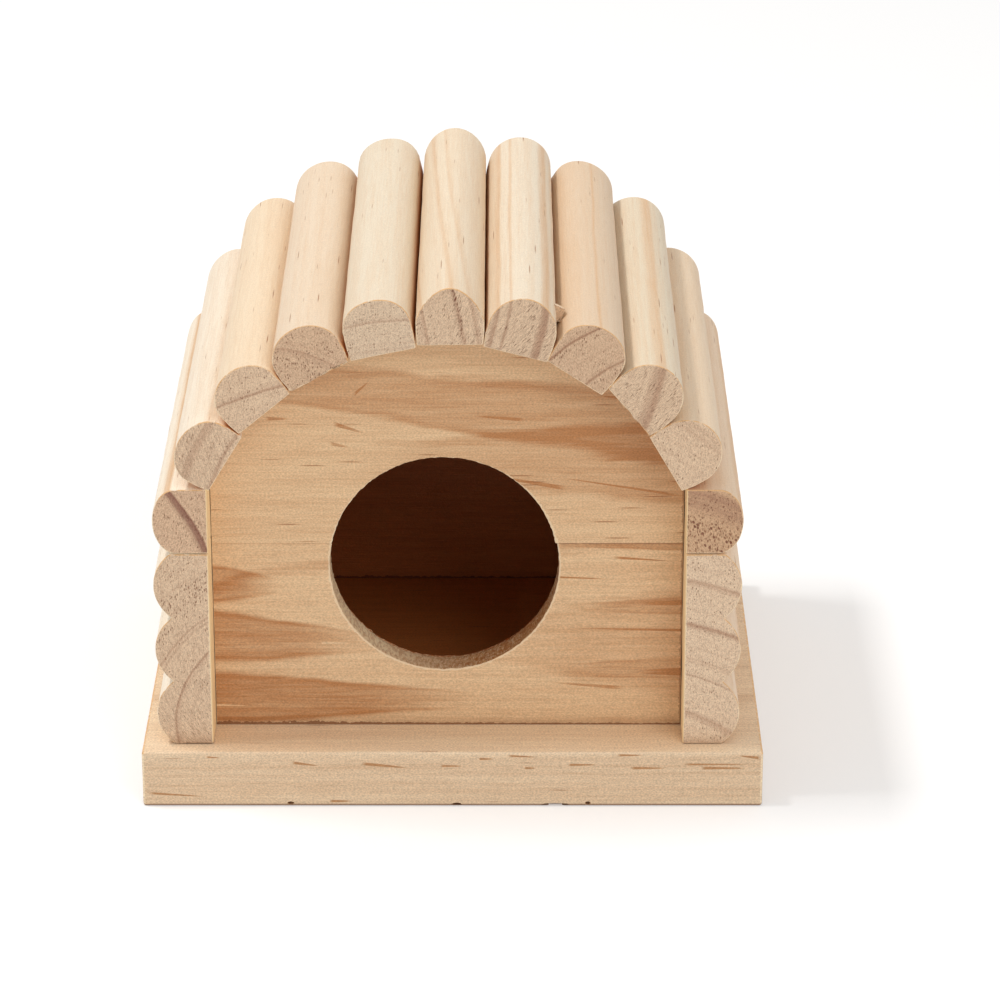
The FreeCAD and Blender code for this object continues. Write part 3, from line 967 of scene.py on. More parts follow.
# %% Cut a piece of pine
def pine(name, middle, rings, lean=(0, 0), wander=1.2, along="Y", flames=(),
         pale=shade(238, 219, 191), late=shade(220, 180, 138),
         end_pale=shade(232, 201, 168), end_late=shade(176, 132, 104),
         dashes=0.35, pores=0.35, coarse=(), saw=0.5, grain=1, speckle=0.35,
         groove_shaded=False, panel=0):
    """A material: a piece of pine cut from its own place in a tree."""
    material = bpy.data.materials.new(name)
    material.use_nodes = True
    tree = material.node_tree
    shader = tree.nodes["Principled BSDF"]
    place = put(tree, "TexCoord", {}).outputs
    turn = (0, 0, 0 if along == "Y" else pi / 2)
    in_mm = {0: place["Object"], "Rotation": turn, "Scale": (1 / mm, 1 / mm, 1 / mm)}
    position = put(tree, "Mapping", in_mm).outputs[0]
    turned = {0: place["Normal"], "Rotation": turn}
    normal = put(tree, "Mapping", turned, vector_type="VECTOR").outputs[0]
    up = put(tree, "SeparateXYZ", {0: place["Normal"]}).outputs["Z"]

    start = front_end / mm if along == "Y" else 0
    centre = (middle[0] - lean[0] * start, 0, middle[1] - lean[1] * start)
    tilt = (lean[0], 0, lean[1])
    tree_line = {"Position": position, "Middle": centre, "Lean": tilt, "Wander": wander}
    found = put_group(tree, rings_group, tree_line).outputs
    surface = put_group(tree, surface_group, {
        "Position": position, "Normal": normal, "Up": up,
        "Distance": found["Distance"], "Around": found["Around"],
        "Rings": ring_lines(tree, found["Distance"], rings),
        "Coarse": ring_lines(tree, found["Distance"], coarse),
        "Flames": add_flames(tree, position, flames) if flames else 0,
        "Pale": pale, "Late": late, "End Pale": end_pale, "End Late": end_late,
        "Dashes": dashes, "Pores": pores, "Saw": saw, "Grain": grain, "Speckle": speckle,
    })
    height = surface.outputs["Height"]
    bump = put(tree, "Bump", {"Height": height, "Distance": mm, "Strength": 0.8})
    colour = surface.outputs["Color"]
    # painted shade towards the roof's grooves
    if groove_shaded:
        facing = calc(tree, "ABSOLUTE", along_grain(tree, normal))
        on_side = rise(tree, facing, 0.5, 0.2)
        groove_shade = calc(tree, "MULTIPLY", between_battens(tree, place["Object"]), on_side)
        colour = mix(tree, groove_shade, colour, groove_shade_brown, blend="MULTIPLY")
    # painted shade, painted light and the torn wall of the door
    worn = put_group(tree, wear_group, {"Color": colour, "Panel": panel})
    # painted shade inside the room
    room_shaded = put_group(tree, room_shade_group, {"Color": worn.outputs["Color"]})
    tree.links.new(room_shaded.outputs["Color"], shader.inputs["Base Color"])
    tree.links.new(surface.outputs["Roughness"], shader.inputs["Roughness"])
    tree.links.new(bump.outputs["Normal"], shader.inputs["Normal"])
    shader.inputs["Specular IOR Level"].default_value = 0.45
    return material


# %% [markdown]
# ## Where the nails go
#
# Ten wire nails come up through the floor board, three into each wall and two into each
# panel. Their heads lie flush in the board's underside.

# %% Nail places
nail_shank = 0.85 * mm
nail_head = 1.75 * mm
nail_head_height = 0.8 * mm
nail_length = 28.2 * mm
nail_reach = 2 * nail_length  # a bit this long, centred in the underside, drills both pieces
wall_nail_x = 55.35 * mm  # from the house's middle
wall_nail_rows = [y * mm for y in (-40, 0, 40)]
panel_nail_x = 34 * mm
panel_nail_rows = {"front": -42.25 * mm, "back": 38.25 * mm}
wall_nails = {
    side_name: [(middle_x + side * wall_nail_x, y, 0) for y in wall_nail_rows]
    for side_name, side in SIDES
}
panel_nails = {
    panel: [(middle_x + side * panel_nail_x, y, 0) for _, side in SIDES]
    for panel, y in panel_nail_rows.items()
}
nail_places = [place for row in (*wall_nails.values(), *panel_nails.values()) for place in row]
print(f"{len(nail_places)} nails, {nail_length / mm:.1f} mm long")

# %% [markdown]
# ## Half-round battens
#
# The roof and the tops of the walls are one kind of stock: a strip with straight sides
# and a round back. A cylinder cut in half would do for a plain one. Real ones differ,
# so this one is drawn as its own section instead: across the planed foot, up a side,
# over the back by a spin, and down again. The back is then pressed lower or pinched to
# a rounder or sharper crest.

# %% A half-round batten
batten_length = back_end - front_end
batten_rounding = 0.38 * mm
back_steps = 30  # of the spin that makes the round back
LEVELS = (0.15, 0.35, 0.55, 0.72, 0.86)  # of the crown's height, where a pinch starts
stages = 8  # along the batten, where the pinch isn't the same all the way


def narrow(test, pinch):
    """Narrows the part that passes the test by this share of its width."""
    pick_vertices(test)
    bpy.ops.transform.resize(value=(1 - pinch, 1, 1), center_override=(0, 0, 0))


def pinch_crown(shoulder, height, pinch, behind=1):
    """Narrows the round back towards its crest, or widens it where pinch is negative.

    behind is the share of the pinch that is left at the back end."""
    for level in LEVELS:
        above = shoulder + level * (height - shoulder)
        narrow(lambda co: co.z > above, behind * pinch / len(LEVELS))
        for stage in range(stages if behind < 1 else 0):
            ahead = batten_length * (0.5 - (stage + 0.5) / stages)
            share = (1 - behind) * pinch / len(LEVELS) / stages
            narrow(lambda co: co.z > above and co.y < ahead, share)


def half_round(name, width, height, shoulder, seat, foot, pinch=0, behind=1):
    """A batten lying on its seat: planed foot, straight sides, round back."""
    half = width / 2
    crown = height - shoulder
    piece = long_edge(name, batten_length, (-seat, 0))
    stroke(seat - half, foot, steps=2)
    stroke(0, shoulder - foot, steps=2)
    sweep((0, shoulder), pi, back_steps)
    stroke(0, foot - shoulder, steps=2)
    stroke(seat - half, -foot, steps=2)
    stroke(-2 * seat, 0, steps=8)
    close_skin()
    pick_vertices(lambda co: co.z > shoulder + 0.1 * touch)
    bpy.ops.transform.resize(value=(1, 1, crown / half), center_override=(0, 0, shoulder))
    if pinch:
        pinch_crown(shoulder, height, pinch, behind)
    cap_ends(batten_length, [(0, 0.45 * height)])
    soften(piece, batten_rounding, segments=3)
    return piece


# %% [markdown]
# ## The roof
#
# Nine battens stand side by side on the arch, glued at their planed feet. They were set
# by hand, so none sits quite like the next. Each one's seat is worked out from the
# arch, and the table adds how far it slid across, sank and tipped, and how wide and high
# its stock is. That is easier to set right than nine separate places.

# %% How each batten sits
# across, lift, width, height, shoulder, foot and wider in mm, lean in degrees;
# a row gives only what differs from the usual stock
USUAL = dict(shoulder=5.2, foot=3, wider=0, pinch=0, behind=1)
FITS = {
    -4: dict(across=-0.12, lift=-0.54, lean=-0.7, width=15.2, height=11.3, wider=0.22),
    -3: dict(across=0.11, lift=-0.06, lean=4.0, width=15.2, height=12.0, wider=0.22),
    -2: dict(across=0.51, lift=-0.19, lean=0.2, width=15.4, height=12.1),
    -1: dict(across=0.74, lift=-0.54, lean=2.4, width=14.7, height=12.5, pinch=-0.12),
    0: dict(across=0.9, lift=0, lean=-0.5, width=14.6, height=12.85, pinch=0.22, behind=0.2),
    1: dict(across=0.57, lift=-0.2, lean=0.3, width=14.8, height=12.9),
    2: dict(across=0.03, lift=-0.35, lean=4.5, width=15.0, height=12.9, shoulder=6.6, foot=3.6),
    3: dict(across=-0.29, lift=0.33, lean=6.4, width=15.0, height=12.9),
    4: dict(across=-0.18, lift=-0.99, lean=1.7, width=15.2, height=12.9, wider=0.17),
}


def roof_node(step):
    if step == 0:
        return "roof_batten_ridge"
    return f"roof_batten_{'left' if step < 0 else 'right'}_{abs(step)}"


leans = [fit["lean"] for fit in FITS.values()]
print(f"{len(FITS)} battens, leaning {min(leans)} to {max(leans)} degrees off the arch")

# %% [markdown]
# One batten carries a splinter, a small wedge that stands off its side where the saw
# came out. A block is tapered in edit mode and joined to the batten by a boolean union.
# The union leaves two slivers in the seam, thinner than a hair, that nothing shows.

# %% A splinter
splinter_place = Vector((22.9, -44, 109.3)) * mm
splinter_size = Vector((2.4, 4, 4)) * mm


def splinter(batten):
    """A sliver that stands off the batten's side where the saw came out."""
    bpy.ops.object.select_all(action="DESELECT")
    place = splinter_place
    bpy.ops.mesh.primitive_cube_add(size=1, location=place, scale=splinter_size)
    sliver = active()
    bpy.ops.object.transform_apply(location=True, rotation=True, scale=True)
    edit()
    pick_vertices(lambda co: co.x > place.x and co.z > place.z)
    bpy.ops.transform.translate(value=(0, 0, -1.2 * mm))
    pick_vertices(lambda co: co.x > place.x and co.z < place.z)
    bpy.ops.transform.translate(value=(-0.9 * mm, 0, 0))
    pick_vertices(lambda co: co.y > place.y)
    bpy.ops.transform.translate(value=(-0.6 * mm, 0, -0.8 * mm))
    leave_edit()
    soften(sliver, 0.1 * mm)
    joint = batten.modifiers.new("splinter", "BOOLEAN")
    joint.object = sliver
    joint.operation = "UNION"
    joint.solver = "EXACT"
    choose(batten)
    apply(joint)
    bpy.data.objects.remove(sliver)


# %% [markdown]
# Each batten was cut from another place in a tree, which its sawn end gives away: a
# middle far off gives nearly straight rings, a near one gives round ones. The numbers
# are mm in the house's own X and Z, so the rings on a piece can be placed to a hair.

# %% The wood of each roof batten
ROOF_WOOD = {
    -4: dict(
        middle=(-8.9, 60.9), lean=(0.02, 0), rings=[(49.9, 2.6, 0.45), (43.7, 0.9, 0.6)],
        saw=1, pale=shade(247, 231, 208),
    ),
    -3: dict(
        middle=(-23.4, 37.6), lean=(0.03, 0), rings=[(60, 0.9, 0.9)],
        saw=0.7, coarse=[(54, 3, 0.3)], pale=shade(240, 216, 184),
    ),
    -2: dict(
        middle=(-36.0, 84.0), lean=(-0.04, 0), rings=[(20.4, 0.9, 0.7)],
        pores=0.9, coarse=[(17.5, 3.4, 0.6)],
        pale=shade(234, 211, 183), end_pale=shade(222, 187, 153),
    ),
    -1: dict(
        middle=(-6.9, 51.3), rings=[(60, 0.8, 0.6), (54, 0.7, 0.3)],
        pale=shade(232, 215, 189), end_pale=shade(230, 203, 172),
    ),
    0: dict(
        middle=(-54.4, 99.8), lean=(-0.055, 0),
        rings=[(50, 0.9, 0.7), (57.4, 1.6, 0.6), (60.5, 1.0, 0.4)],
        pores=0.5, coarse=[(48.6, 1.4, 0.5), (57.4, 1.0, 1.3)], pale=shade(235, 215, 187),
    ),
    1: dict(
        middle=(-29.5, 118.7), rings=[(39.6, 0.8, 0.7), (42.2, 0.8, 0.7), (49.6, 2.2, 0.8)],
        saw=0.8, coarse=[(46.5, 3.4, 0.5)], pale=shade(235, 218, 193),
    ),
    2: dict(
        middle=(59.7, 56.7), rings=[(63.6, 6, 0.2), (60, 0.6, 1.0), (51.1, 0.6, 1.0)],
        coarse=[(59.0, 1.3, 0.8), (49, 3, 0.5)], pale=shade(225, 199, 169),
        end_pale=shade(222, 187, 153), end_late=shade(150, 100, 70),
    ),
    3: dict(
        middle=(-10.0, 109.0), rings=[(54.6, 3.6, 0.6)],
        pores=0.6, coarse=[(58.5, 2.5, 0.6)], pale=shade(228, 211, 184),
    ),
    4: dict(
        middle=(20.0, 40.0), rings=[(56.0, 3.0, 0.2)],
        coarse=[(64.5, 2, 0.4)], pale=shade(234, 209, 178),
    ),
}

ring_count = sum(len(wood["rings"]) for wood in ROOF_WOOD.values())
print(f"{ring_count} dark rings on the roof")

# %% [markdown]
# Now the nine are made, tipped and set down on the arch. A slow unevenness keeps their
# backs from being perfect cylinders. Two were cut with a blunt saw, and the lower edge
# of their front ends is torn.

# %% Set the roof
TORN = {-2: 1.0, 3: 0.9}  # mm above the seat
tear_depth = 0.2 * mm
tear_length = 0.4 * mm  # back from the front end
splintered = 1
stock_unevenness = dict(grain=9 * mm, strength=0.22 * mm)

for step, own in FITS.items():
    fit = {**USUAL, **own}
    angle = step * arch_step
    batten = half_round(
        roof_node(step) + "_pine",
        width=fit["width"] * mm,
        height=fit["height"] * mm,
        shoulder=fit["shoulder"] * mm,
        seat=seat_half + fit["wider"] * mm,
        foot=fit["foot"] * mm,
        pinch=fit["pinch"],
        behind=fit["behind"],
    )
    along_seat = Vector((cos(angle), 0, -sin(angle)))
    outwards = Vector((sin(angle), 0, cos(angle)))
    place = arch_centre + outwards * (seat_radius + fit["lift"] * mm)
    place += along_seat * fit["across"] * mm
    settle(batten, place=place, lean=angle + radians(fit["lean"]))
    unevenness(batten, **stock_unevenness)
    if step in TORN:
        reach = seat_radius + TORN[step] * mm

        def lower_edge(co):
            return (co - arch_centre).xz.length < reach and co.y < front_end + tear_length

        tear(lower_edge, tear_depth, seed=step + 9)
    if step == splintered:
        splinter(batten)
    wood = pine(batten.name, groove_shaded=True, **ROOF_WOOD[step])
    dress(batten, roof_node(step), wood)

# %% [markdown]
# ## The walls
#
# A wall looks like four battens on top of each other, but its lower three are one board
# with three half-rounds milled into it: the rings on its end run across the grooves
# without a break. So it is one piece here too, drawn by three spins in a row. The edge
# that stands beside the panel was handled most, and is rounded more.

# %% Scalloped mouldings
wall_thickness = high("left_wall_moulding").x - low("left_wall_moulding").x
wall_height = high("left_wall_moulding").z - floor_top
lobe_depth = 3.7 * mm
lobe_count = 3
lobe_steps = 20
wall_rounding = 0.35 * mm
upright_rounding = 0.65 * mm


def inner_upright(co):
    """The upright edges at both ends of a wall's inner face."""
    return abs(co.x) < touch and abs(abs(co.y) - batten_length / 2) < touch


def scalloped_moulding(name, thickness):
    """A board standing on the floor: inner face at x = 0, half-rounds milled on +X."""
    half = batten_width / 2
    radius = (half ** 2 + lobe_depth ** 2) / (2 * lobe_depth)
    axis_x = thickness - radius
    groove_x = thickness - lobe_depth
    piece = long_edge(name, batten_length, (0, 0))
    stroke(groove_x, 0, steps=5)
    heights = [(lobe + 0.5) * batten_width for lobe in range(lobe_count)]
    for height in heights:
        sweep((axis_x, height), -2 * atan2(half, groove_x - axis_x), lobe_steps)
    stroke(-groove_x, 0, steps=5)
    stroke(0, -wall_height, steps=6 * lobe_count)
    close_skin()
    centres = [(0.45 * thickness, height) for height in heights]
    cap_ends(batten_length, centres, splits=[n * batten_width for n in range(1, lobe_count)])
    soften(piece, wall_rounding, segments=3, worn=inner_upright, worn_width=upright_rounding)
    return piece


print(f"walls {wall_thickness / mm:.1f} mm thick and {wall_height / mm:.1f} mm high")

# %% [markdown]
# The fourth half-round is a batten like those of the roof, turned on its side and glued
# on top. It comes from another tree, and the right one is full of open pores.

# %% The wood of the walls
WALL_WOOD = {
    "left": dict(
        middle=(-37, 18), rings=[(22.8, 0.7, 0.8), (28.7, 0.6, 0.5), (29.4, 0.6, 0.5)],
        saw=0.8, coarse=[(35.0, 9.0, 0.7)], pale=shade(250, 236, 214),
    ),
    "right": dict(
        middle=(37, -17),
        rings=[
            (69.8, 2.4, 0.5), (60.1, 1.8, 0.7), (52.4, 0.9, 0.5),
            (48.8, 0.7, 0.5), (40.0, 1.8, 0.6),
        ],
        pale=shade(238, 211, 181), end_pale=shade(236, 207, 175),
    ),
}
TOP_WOOD = {
    "left": dict(
        middle=(-99.6, 41.0), rings=[(50, 1.9, 1.0)], pores=0.9,
        pale=shade(250, 236, 214), end_pale=shade(226, 190, 156), end_late=shade(140, 92, 74),
    ),
    "right": dict(
        middle=(31.0, 5.0), rings=[(68.7, 7, 0.75)], pores=1.0, coarse=[(60, 12, 1.0)],
        pale=shade(238, 211, 181), end_pale=shade(216, 176, 138),
    ),
}
WORN_OFF = {"left": 0.2, "right": 0}  # mm off the moulding, and as much again off the top
top_shoulder = 7 * mm
wall_unevenness = dict(grain=9 * mm, strength=0.2 * mm)

# %% [markdown]
# Both walls are made the same way. The drawn section points to +X, so the left one is
# turned half round, which keeps its faces pointing outwards, as a mirror wouldn't.

# %% Set the walls
for side_name, side in SIDES:
    thickness = wall_thickness - WORN_OFF[side_name] * mm
    moulding = scalloped_moulding(side_name + "_wall_moulding_pine", thickness)
    settle(moulding, place=(wall_inner[side_name], 0, floor_top), turn=0 if side > 0 else pi)
    unevenness(moulding, **wall_unevenness)
    drill(moulding, wall_nails[side_name], nail_shank, nail_reach)
    wood = pine(moulding.name, **WALL_WOOD[side_name])
    dress(moulding, side_name + "_wall_moulding", wood)

    half = (batten_width - glue_gap) / 2
    top = half_round(
        side_name + "_wall_top_batten_pine",
        width=2 * half,
        height=thickness - WORN_OFF[side_name] * mm,
        shoulder=top_shoulder,
        seat=half,
        foot=USUAL["foot"] * mm,
    )
    place = (wall_inner[side_name], 0, floor_top + wall_height + batten_width / 2)
    settle(top, place=place, lean=side * pi / 2)
    unevenness(top, **wall_unevenness)
    wood = pine(top.name, **TOP_WOOD[side_name])
    dress(top, side_name + "_wall_top_batten", wood)

# %% [markdown]
# ## The panels
#
# Each panel is two boards glued edge to edge, cut to the arch. The outline is a circle
# trimmed by three cuts, with its straight foot extruded down to the floor and the whole
# extruded to its thickness. Every corner of the outline then lies on a true circle,
# which points moved by hand would not.

# %% The outline of a panel
panel_clearance = 0.02 * mm
circle_points = 192
panel_half = room_half - panel_clearance
panel_radius = seat_radius - panel_clearance


def trim(place, direction, close=False):
    """Cuts away all that lies beyond place in that direction."""
    bpy.ops.mesh.select_all(action="SELECT")
    bpy.ops.mesh.bisect(plane_co=place, plane_no=direction, use_fill=close, clear_outer=True)


def arched_blank(name, front, back):
    """A panel without its door, from the floor board up to the arch."""
    bpy.ops.object.select_all(action="DESELECT")
    place = (arch_centre.x, front, arch_centre.z)
    bpy.ops.mesh.primitive_circle_add(
        vertices=circle_points, radius=panel_radius, fill_type="NGON",
        location=place, rotation=(pi / 2, 0, 0),
    )
    piece = active()
    piece.name = name
    piece.data.name = name
    bpy.ops.object.transform_apply(location=True, rotation=True, scale=True)
    edit()
    for side in (-1, 1):
        trim((middle_x + side * panel_half, 0, 0), (side, 0, 0))
    trim(arch_centre, (0, 0, -1))
    pick_vertices(lambda co: abs(co.z - arch_centre.z) < touch)
    down = {"value": (0, 0, floor_top - arch_centre.z)}
    bpy.ops.mesh.extrude_edges_move(TRANSFORM_OT_translate=down)
    bpy.ops.mesh.select_all(action="SELECT")
    bpy.ops.mesh.dissolve_limited(angle_limit=radians(0.1))
    bpy.ops.mesh.select_all(action="SELECT")
    through = {"value": (0, back - front, 0)}
    bpy.ops.mesh.extrude_region_move(TRANSFORM_OT_translate=through)
    bpy.ops.mesh.select_all(action="SELECT")
    bpy.ops.mesh.normals_make_consistent(inside=False)
    leave_edit()
    return piece


# %% [markdown]
# The panel was glued up from two boards before it was cut to shape. Here it is cut in
# two again at the glue line, as a copy for each board with the other half trimmed away.

# %% Cut a panel into its two boards
def board(panel, name, keep):
    """One board of a panel: a copy of it, cut at the glue line."""
    bpy.ops.object.select_all(action="DESELECT")
    piece = panel.copy()
    piece.data = panel.data.copy()
    piece.name = name
    piece.data.name = name
    bpy.context.scene.collection.objects.link(piece)
    choose(piece)
    edit()
    direction = (0, 0, 1) if keep == "lower" else (0, 0, -1)
    height = seam if keep == "lower" else seam + glue_gap
    trim((0, 0, height), direction, close=True)
    leave_edit()
    return piece


# %% [markdown]
# The round door is drilled through both boards. They slipped a little when they were
# glued, so each has its own circle, and the two don't quite meet at the glue line. The
# saw's rough wall needs vertices to roughen: its long edges are subdivided, and then
# moved only sideways and up or down, so that the flat front stays flat.

# %% The door
board_edge = 0.07 * mm
rim_wear = 0.15 * mm
door_sides = 256
saw_reach = 40 * mm  # through the panel and clear of the back one
rough_band = 0.05 * mm  # vertices this close to the circle are the saw's wall
rough_cuts = 8
rough_depth = 0.4 * mm
back_edge_depth = 0.5 * mm
# centre and radius of the round cut in each board
DOOR = {
    "lower": (door_centre, door_radius),
    "upper": (door_centre + Vector((-0.15 * mm, 0, 0.65 * mm)), 24.6 * mm),
}


def cut_door(piece, keep):
    """Drills the board's part of the door and roughens the wall that the hole saw leaves."""
    centre, radius = DOOR[keep]
    front, back = (corner.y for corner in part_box("front_panel_lower_board"))
    drill(piece, [centre + Vector((0, front, 0))], radius, saw_reach, "Y", door_sides)

    def in_wall(co):
        return abs((Vector((co.x, 0, co.z)) - centre).length - radius) < rough_band

    def on_rim(co):
        return in_wall(co) and min(co.y - front, back - co.y) < touch

    def across_wall(one, other):
        return in_wall(one) and in_wall(other) and abs(one.y - other.y) > 1 * mm

    edit()
    pick_edges(across_wall)
    bpy.ops.mesh.subdivide(number_cuts=rough_cuts)
    pick_vertices(in_wall)
    bpy.ops.object.vertex_group_assign_new()
    pick_vertices(lambda co: in_wall(co) and co.y > back - 1 * mm)
    bpy.ops.object.vertex_group_assign_new()
    leave_edit()
    soften(piece, board_edge, worn=on_rim, worn_width=rim_wear)
    whole_wall, back_edge = (group.name for group in piece.vertex_groups)
    unevenness(piece, 0.7 * mm, rough_depth, whole_wall, "X")
    unevenness(piece, 0.85 * mm, rough_depth, whole_wall, "Z")
    unevenness(piece, 1.6 * mm, back_edge_depth, back_edge)


# %% [markdown]
# The boards of a panel have their grain from left to right and were cut almost along
# the rings, so their dark wood shows as flames. Each flame is the place of its tip, how
# long and how wide it is, how it slopes, and how dark it is. A negative length points
# it the other way, and a negative darkness makes a pale scratch.

# %% The wood of the panels
# what all four boards share
PANEL_STOCK = dict(along="X", panel=1, pale=shade(231, 195, 152), late=shade(186, 128, 78))
PANEL_WOOD = {
    "front_panel_lower_board": dict(
        middle=(-20, 30), lean=(0.03, 0.01), rings=[(70, 1.0, 0.3)], wander=4, speckle=0.8,
        flames=[
            ((-35, 46.3), 24, 6.0, -0.02, 0.7),
            ((-12.5, 32.6), 50, 7.6, -0.045, 0.75),
            ((-22.4, 32.7), 5.4, 0.22, 0, -1.6),
            ((-44.6, 17.6), 7, 0.22, -0.02, -1.8),
            ((10, 19.0), 68, 7.0, -0.01, 0.8),
            ((2, 33.0), -60, 15.0, 0, 0.3),
            ((20, 41.0), -38, 2.6, 0.02, 0.3),
            ((39, 41.9), -16, 0.8, 0.04, 0.6),
            ((43, 42.8), -8, 0.4, -0.1, 0.9),
            ((12, 26.2), -46, 3.2, 0.01, 0.3),
            ((38, 25.8), -18, 1.2, 0.0, 0.6),
            ((35, 47.9), 13, 0.25, -0.04, 1.2),
            ((48.6, 52.1), 12, 0.28, -0.067, 1.2),
            ((23.4, 36.3), -32, 0.35, -0.02, 0.8),
            ((20.2, 23.3), -15, 0.4, -0.08, 0.7),
            ((18, 56.2), -46, 2.0, 0.0, 0.6),
        ],
    ),
    "front_panel_upper_board": dict(
        middle=(-20, 60), lean=(0.03, 0.01), rings=[(40, 1.0, 0.2)], wander=5, speckle=0.8,
        flames=[
            # the first two flames darken the board along the arch and towards the right: partly
            # wood tone, partly painted shade
            ((-85, 99.5), -130, 8.5, -0.125, 0.5),
            ((-34, 76.0), -100, 11.0, -0.01, 0.42),
            ((20.5, 72.3), -24, 0.3, -0.16, 0.8),
            ((-18.3, 82.0), 6, 0.5, -0.33, 0.9),
            ((-34.0, 85.4), 5, 0.4, 0, 0.7),
            ((-21.5, 78.8), 4, 0.4, -0.2, 0.8),
            ((-17.3, 94.1), 3, 0.4, 0.9, 0.7),
            ((8.2, 72.3), -14, 0.5, -0.18, 0.7),
            ((3.9, 86.1), -10, 0.4, -0.08, 0.6),
            ((30, 90.9), -12, 0.5, -0.12, 0.7),
        ],
    ),
    "back_panel_lower_board": dict(
        middle=(-20, 20), lean=(0.05, 0), rings=[(70, 3.0, 0.5)], wander=6,
    ),
    "back_panel_upper_board": dict(
        middle=(20, 80), lean=(-0.05, 0), rings=[(60, 3.0, 0.5)], wander=6,
    ),
}

flame_count = sum(len(wood.get("flames", ())) for wood in PANEL_WOOD.values())
print(f"{flame_count} flames on the panels")

# %% [markdown]
# Last, both panels are cut, drilled for their nails and set in place. Only the front one
# gets a door, and its upper board stands a hair further out than the lower.

# %% Set the panels
for panel in ("front", "back"):
    lower = f"{panel}_panel_lower_board"
    upper = f"{panel}_panel_upper_board"
    blank = arched_blank(panel + "_blank", low(lower).y, high(lower).y)
    for node, keep in ((lower, "lower"), (upper, "upper")):
        piece = board(blank, node + "_pine", keep)
        if panel == "front":
            cut_door(piece, keep)
        else:
            soften(piece, board_edge)
        if keep == "lower":
            drill(piece, panel_nails[panel], nail_shank, nail_reach)
        settle(piece, place=(0, low(node).y - low(lower).y, 0))
        wood = pine(piece.name, **PANEL_STOCK, **PANEL_WOOD[node])
        dress(piece, node, wood)
    bpy.data.objects.remove(blank)

# %% [markdown]
# ## The floor board
#
# Everything stands on one thick board, a little larger than the house. It starts as a
# block of the board's size and is divided by cuts into small faces. Its edges are sanded
# round. Then come the holes of the nails, and the chips that a saw broke out of its lower
# front edge.

# %% The board
# x, z and width of each chip, in mm
CHIPS = [(-35.3, 0.75, 1.6), (0.9, 0.45, 2.2), (22.4, 0.35, 6.4), (29.5, 0.75, 1.3)]
board_cuts = 45
board_rounding = 0.6 * mm
chip_radius = 0.4 * mm
chip_depth = 1.2 * mm
chip_corners = 7


def floor_board():
    corner, far_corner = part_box("floor_board")
    middle = (corner + far_corner) / 2
    bpy.ops.object.select_all(action="DESELECT")
    bpy.ops.mesh.primitive_cube_add(size=1, location=middle, scale=far_corner - corner)
    piece = active()
    piece.name = "floor_board_pine"
    piece.data.name = piece.name
    bpy.ops.object.transform_apply(location=True, rotation=True, scale=True)
    edit()
    for n in range(1, board_cuts):
        place = corner.lerp(far_corner, n / board_cuts)
        for direction in ((1, 0, 0), (0, 1, 0)):
            bpy.ops.mesh.select_all(action="SELECT")
            bpy.ops.mesh.bisect(plane_co=place, plane_no=direction)
    leave_edit()
    soften(piece, board_rounding, segments=3)
    drill(piece, nail_places, nail_head, 2 * nail_head_height, sides=24)
    drill(piece, nail_places, nail_shank, nail_reach)
    chips = [(x * mm, corner.y, z * mm) for x, z, width in CHIPS]
    widths = [width * mm for x, z, width in CHIPS]
    drill(piece, chips, chip_radius, 2 * chip_depth, "Y", chip_corners, widths)
    return piece


# %% [markdown]
# Its wood is quiet on top, with wide pale rings, and marked along the front edge by
# short resin streaks. Those are flames again, only thin ones.

# %% The wood of the floor board
floor_piece = floor_board()
floor_wood = pine(
    floor_piece.name, along="X", middle=(60, -90), lean=(0.01, 0.004), wander=0.8,
    rings=[(95, 16, 0.2), (106.5, 1.6, 0.3), (112, 1.2, 0.3)],
    flames=[
        ((-50.0, 11.6), 3, 0.2, -0.08, 1.0),
        ((-28.6, 9.7), 5.4, 0.3, -0.13, 1.2),
        ((-9.0, 9.2), 9.3, 0.35, -0.1, 1.2),
        ((-52.5, 2.2), 12, 0.25, -0.07, 1.1),
        ((2.7, 9.7), 4.6, 0.25, 0, 1.1),
        ((9.2, 11.4), 3, 0.25, 0, 1.3),
        ((18.4, 9.2), 2.4, 0.25, 0, 1.1),
        ((31.8, 10.0), 5.7, 0.28, 0, 1.5),
        ((19.2, 11.8), 6.3, 0.25, -0.05, 1.0),
        ((47.3, 9.2), 7.4, 0.28, 0, 1.3),
        ((64.5, 9.2), 9, 0.35, 0, 1.4),
        ((65.3, 10.1), 13, 0.22, 0, 1.1),
        ((42.2, 12.3), 5.6, 0.25, 0, 1.0),
        ((62, 12.2), -4, 0.3, -0.12, 2.0),
        ((-21.5, 1.2), 4.6, 0.3, 0, 1.2),
    ],
    pale=shade(241, 215, 181), late=shade(188, 138, 92),
    dashes=0.45, grain=0.8, speckle=0.95,
)
dress(floor_piece, "floor_board", floor_wood)

# %% [markdown]
# The nails are bright drawn wire. Drawing leaves fine lines along the shank, so the
# steel is rougher in some lines than in others.

# %% Steel of the nails
bright_steel = shade(188, 190, 192)
drawn_steel = shade(142, 144, 148)

steel = bpy.data.materials.new("drawn_steel")
steel.use_nodes = True
tree = steel.node_tree
shader = tree.nodes["Principled BSDF"]
place = put(tree, "TexCoord", {}).outputs["Object"]
drawn = noise(tree, place, (0.15 * mm, 0.15 * mm, 6 * mm), 3)
shader.inputs["Metallic"].default_value = 1
steel_colour = mix(tree, drawn, bright_steel, drawn_steel)
tree.links.new(steel_colour, shader.inputs["Base Color"])
tree.links.new(calc(tree, "MULTIPLY_ADD", drawn, 0.3, 0.2), shader.inputs["Roughness"])
nails = bpy.data.objects["floor_nails"]
for slot in nails.material_slots:
    slot.material = steel
print(f"{nails.name}: {len(nails.material_slots)} material slot")

# %% [markdown]
# ## The studio
#
# The house stands on a pale floor that runs out of view. The floor keeps the house's
# shadow, but to the camera it also glows a little, so its colour and the lamps together
# come out white without more light on the wood. Light Path tells a ray from the camera
# apart from one that lights the house.

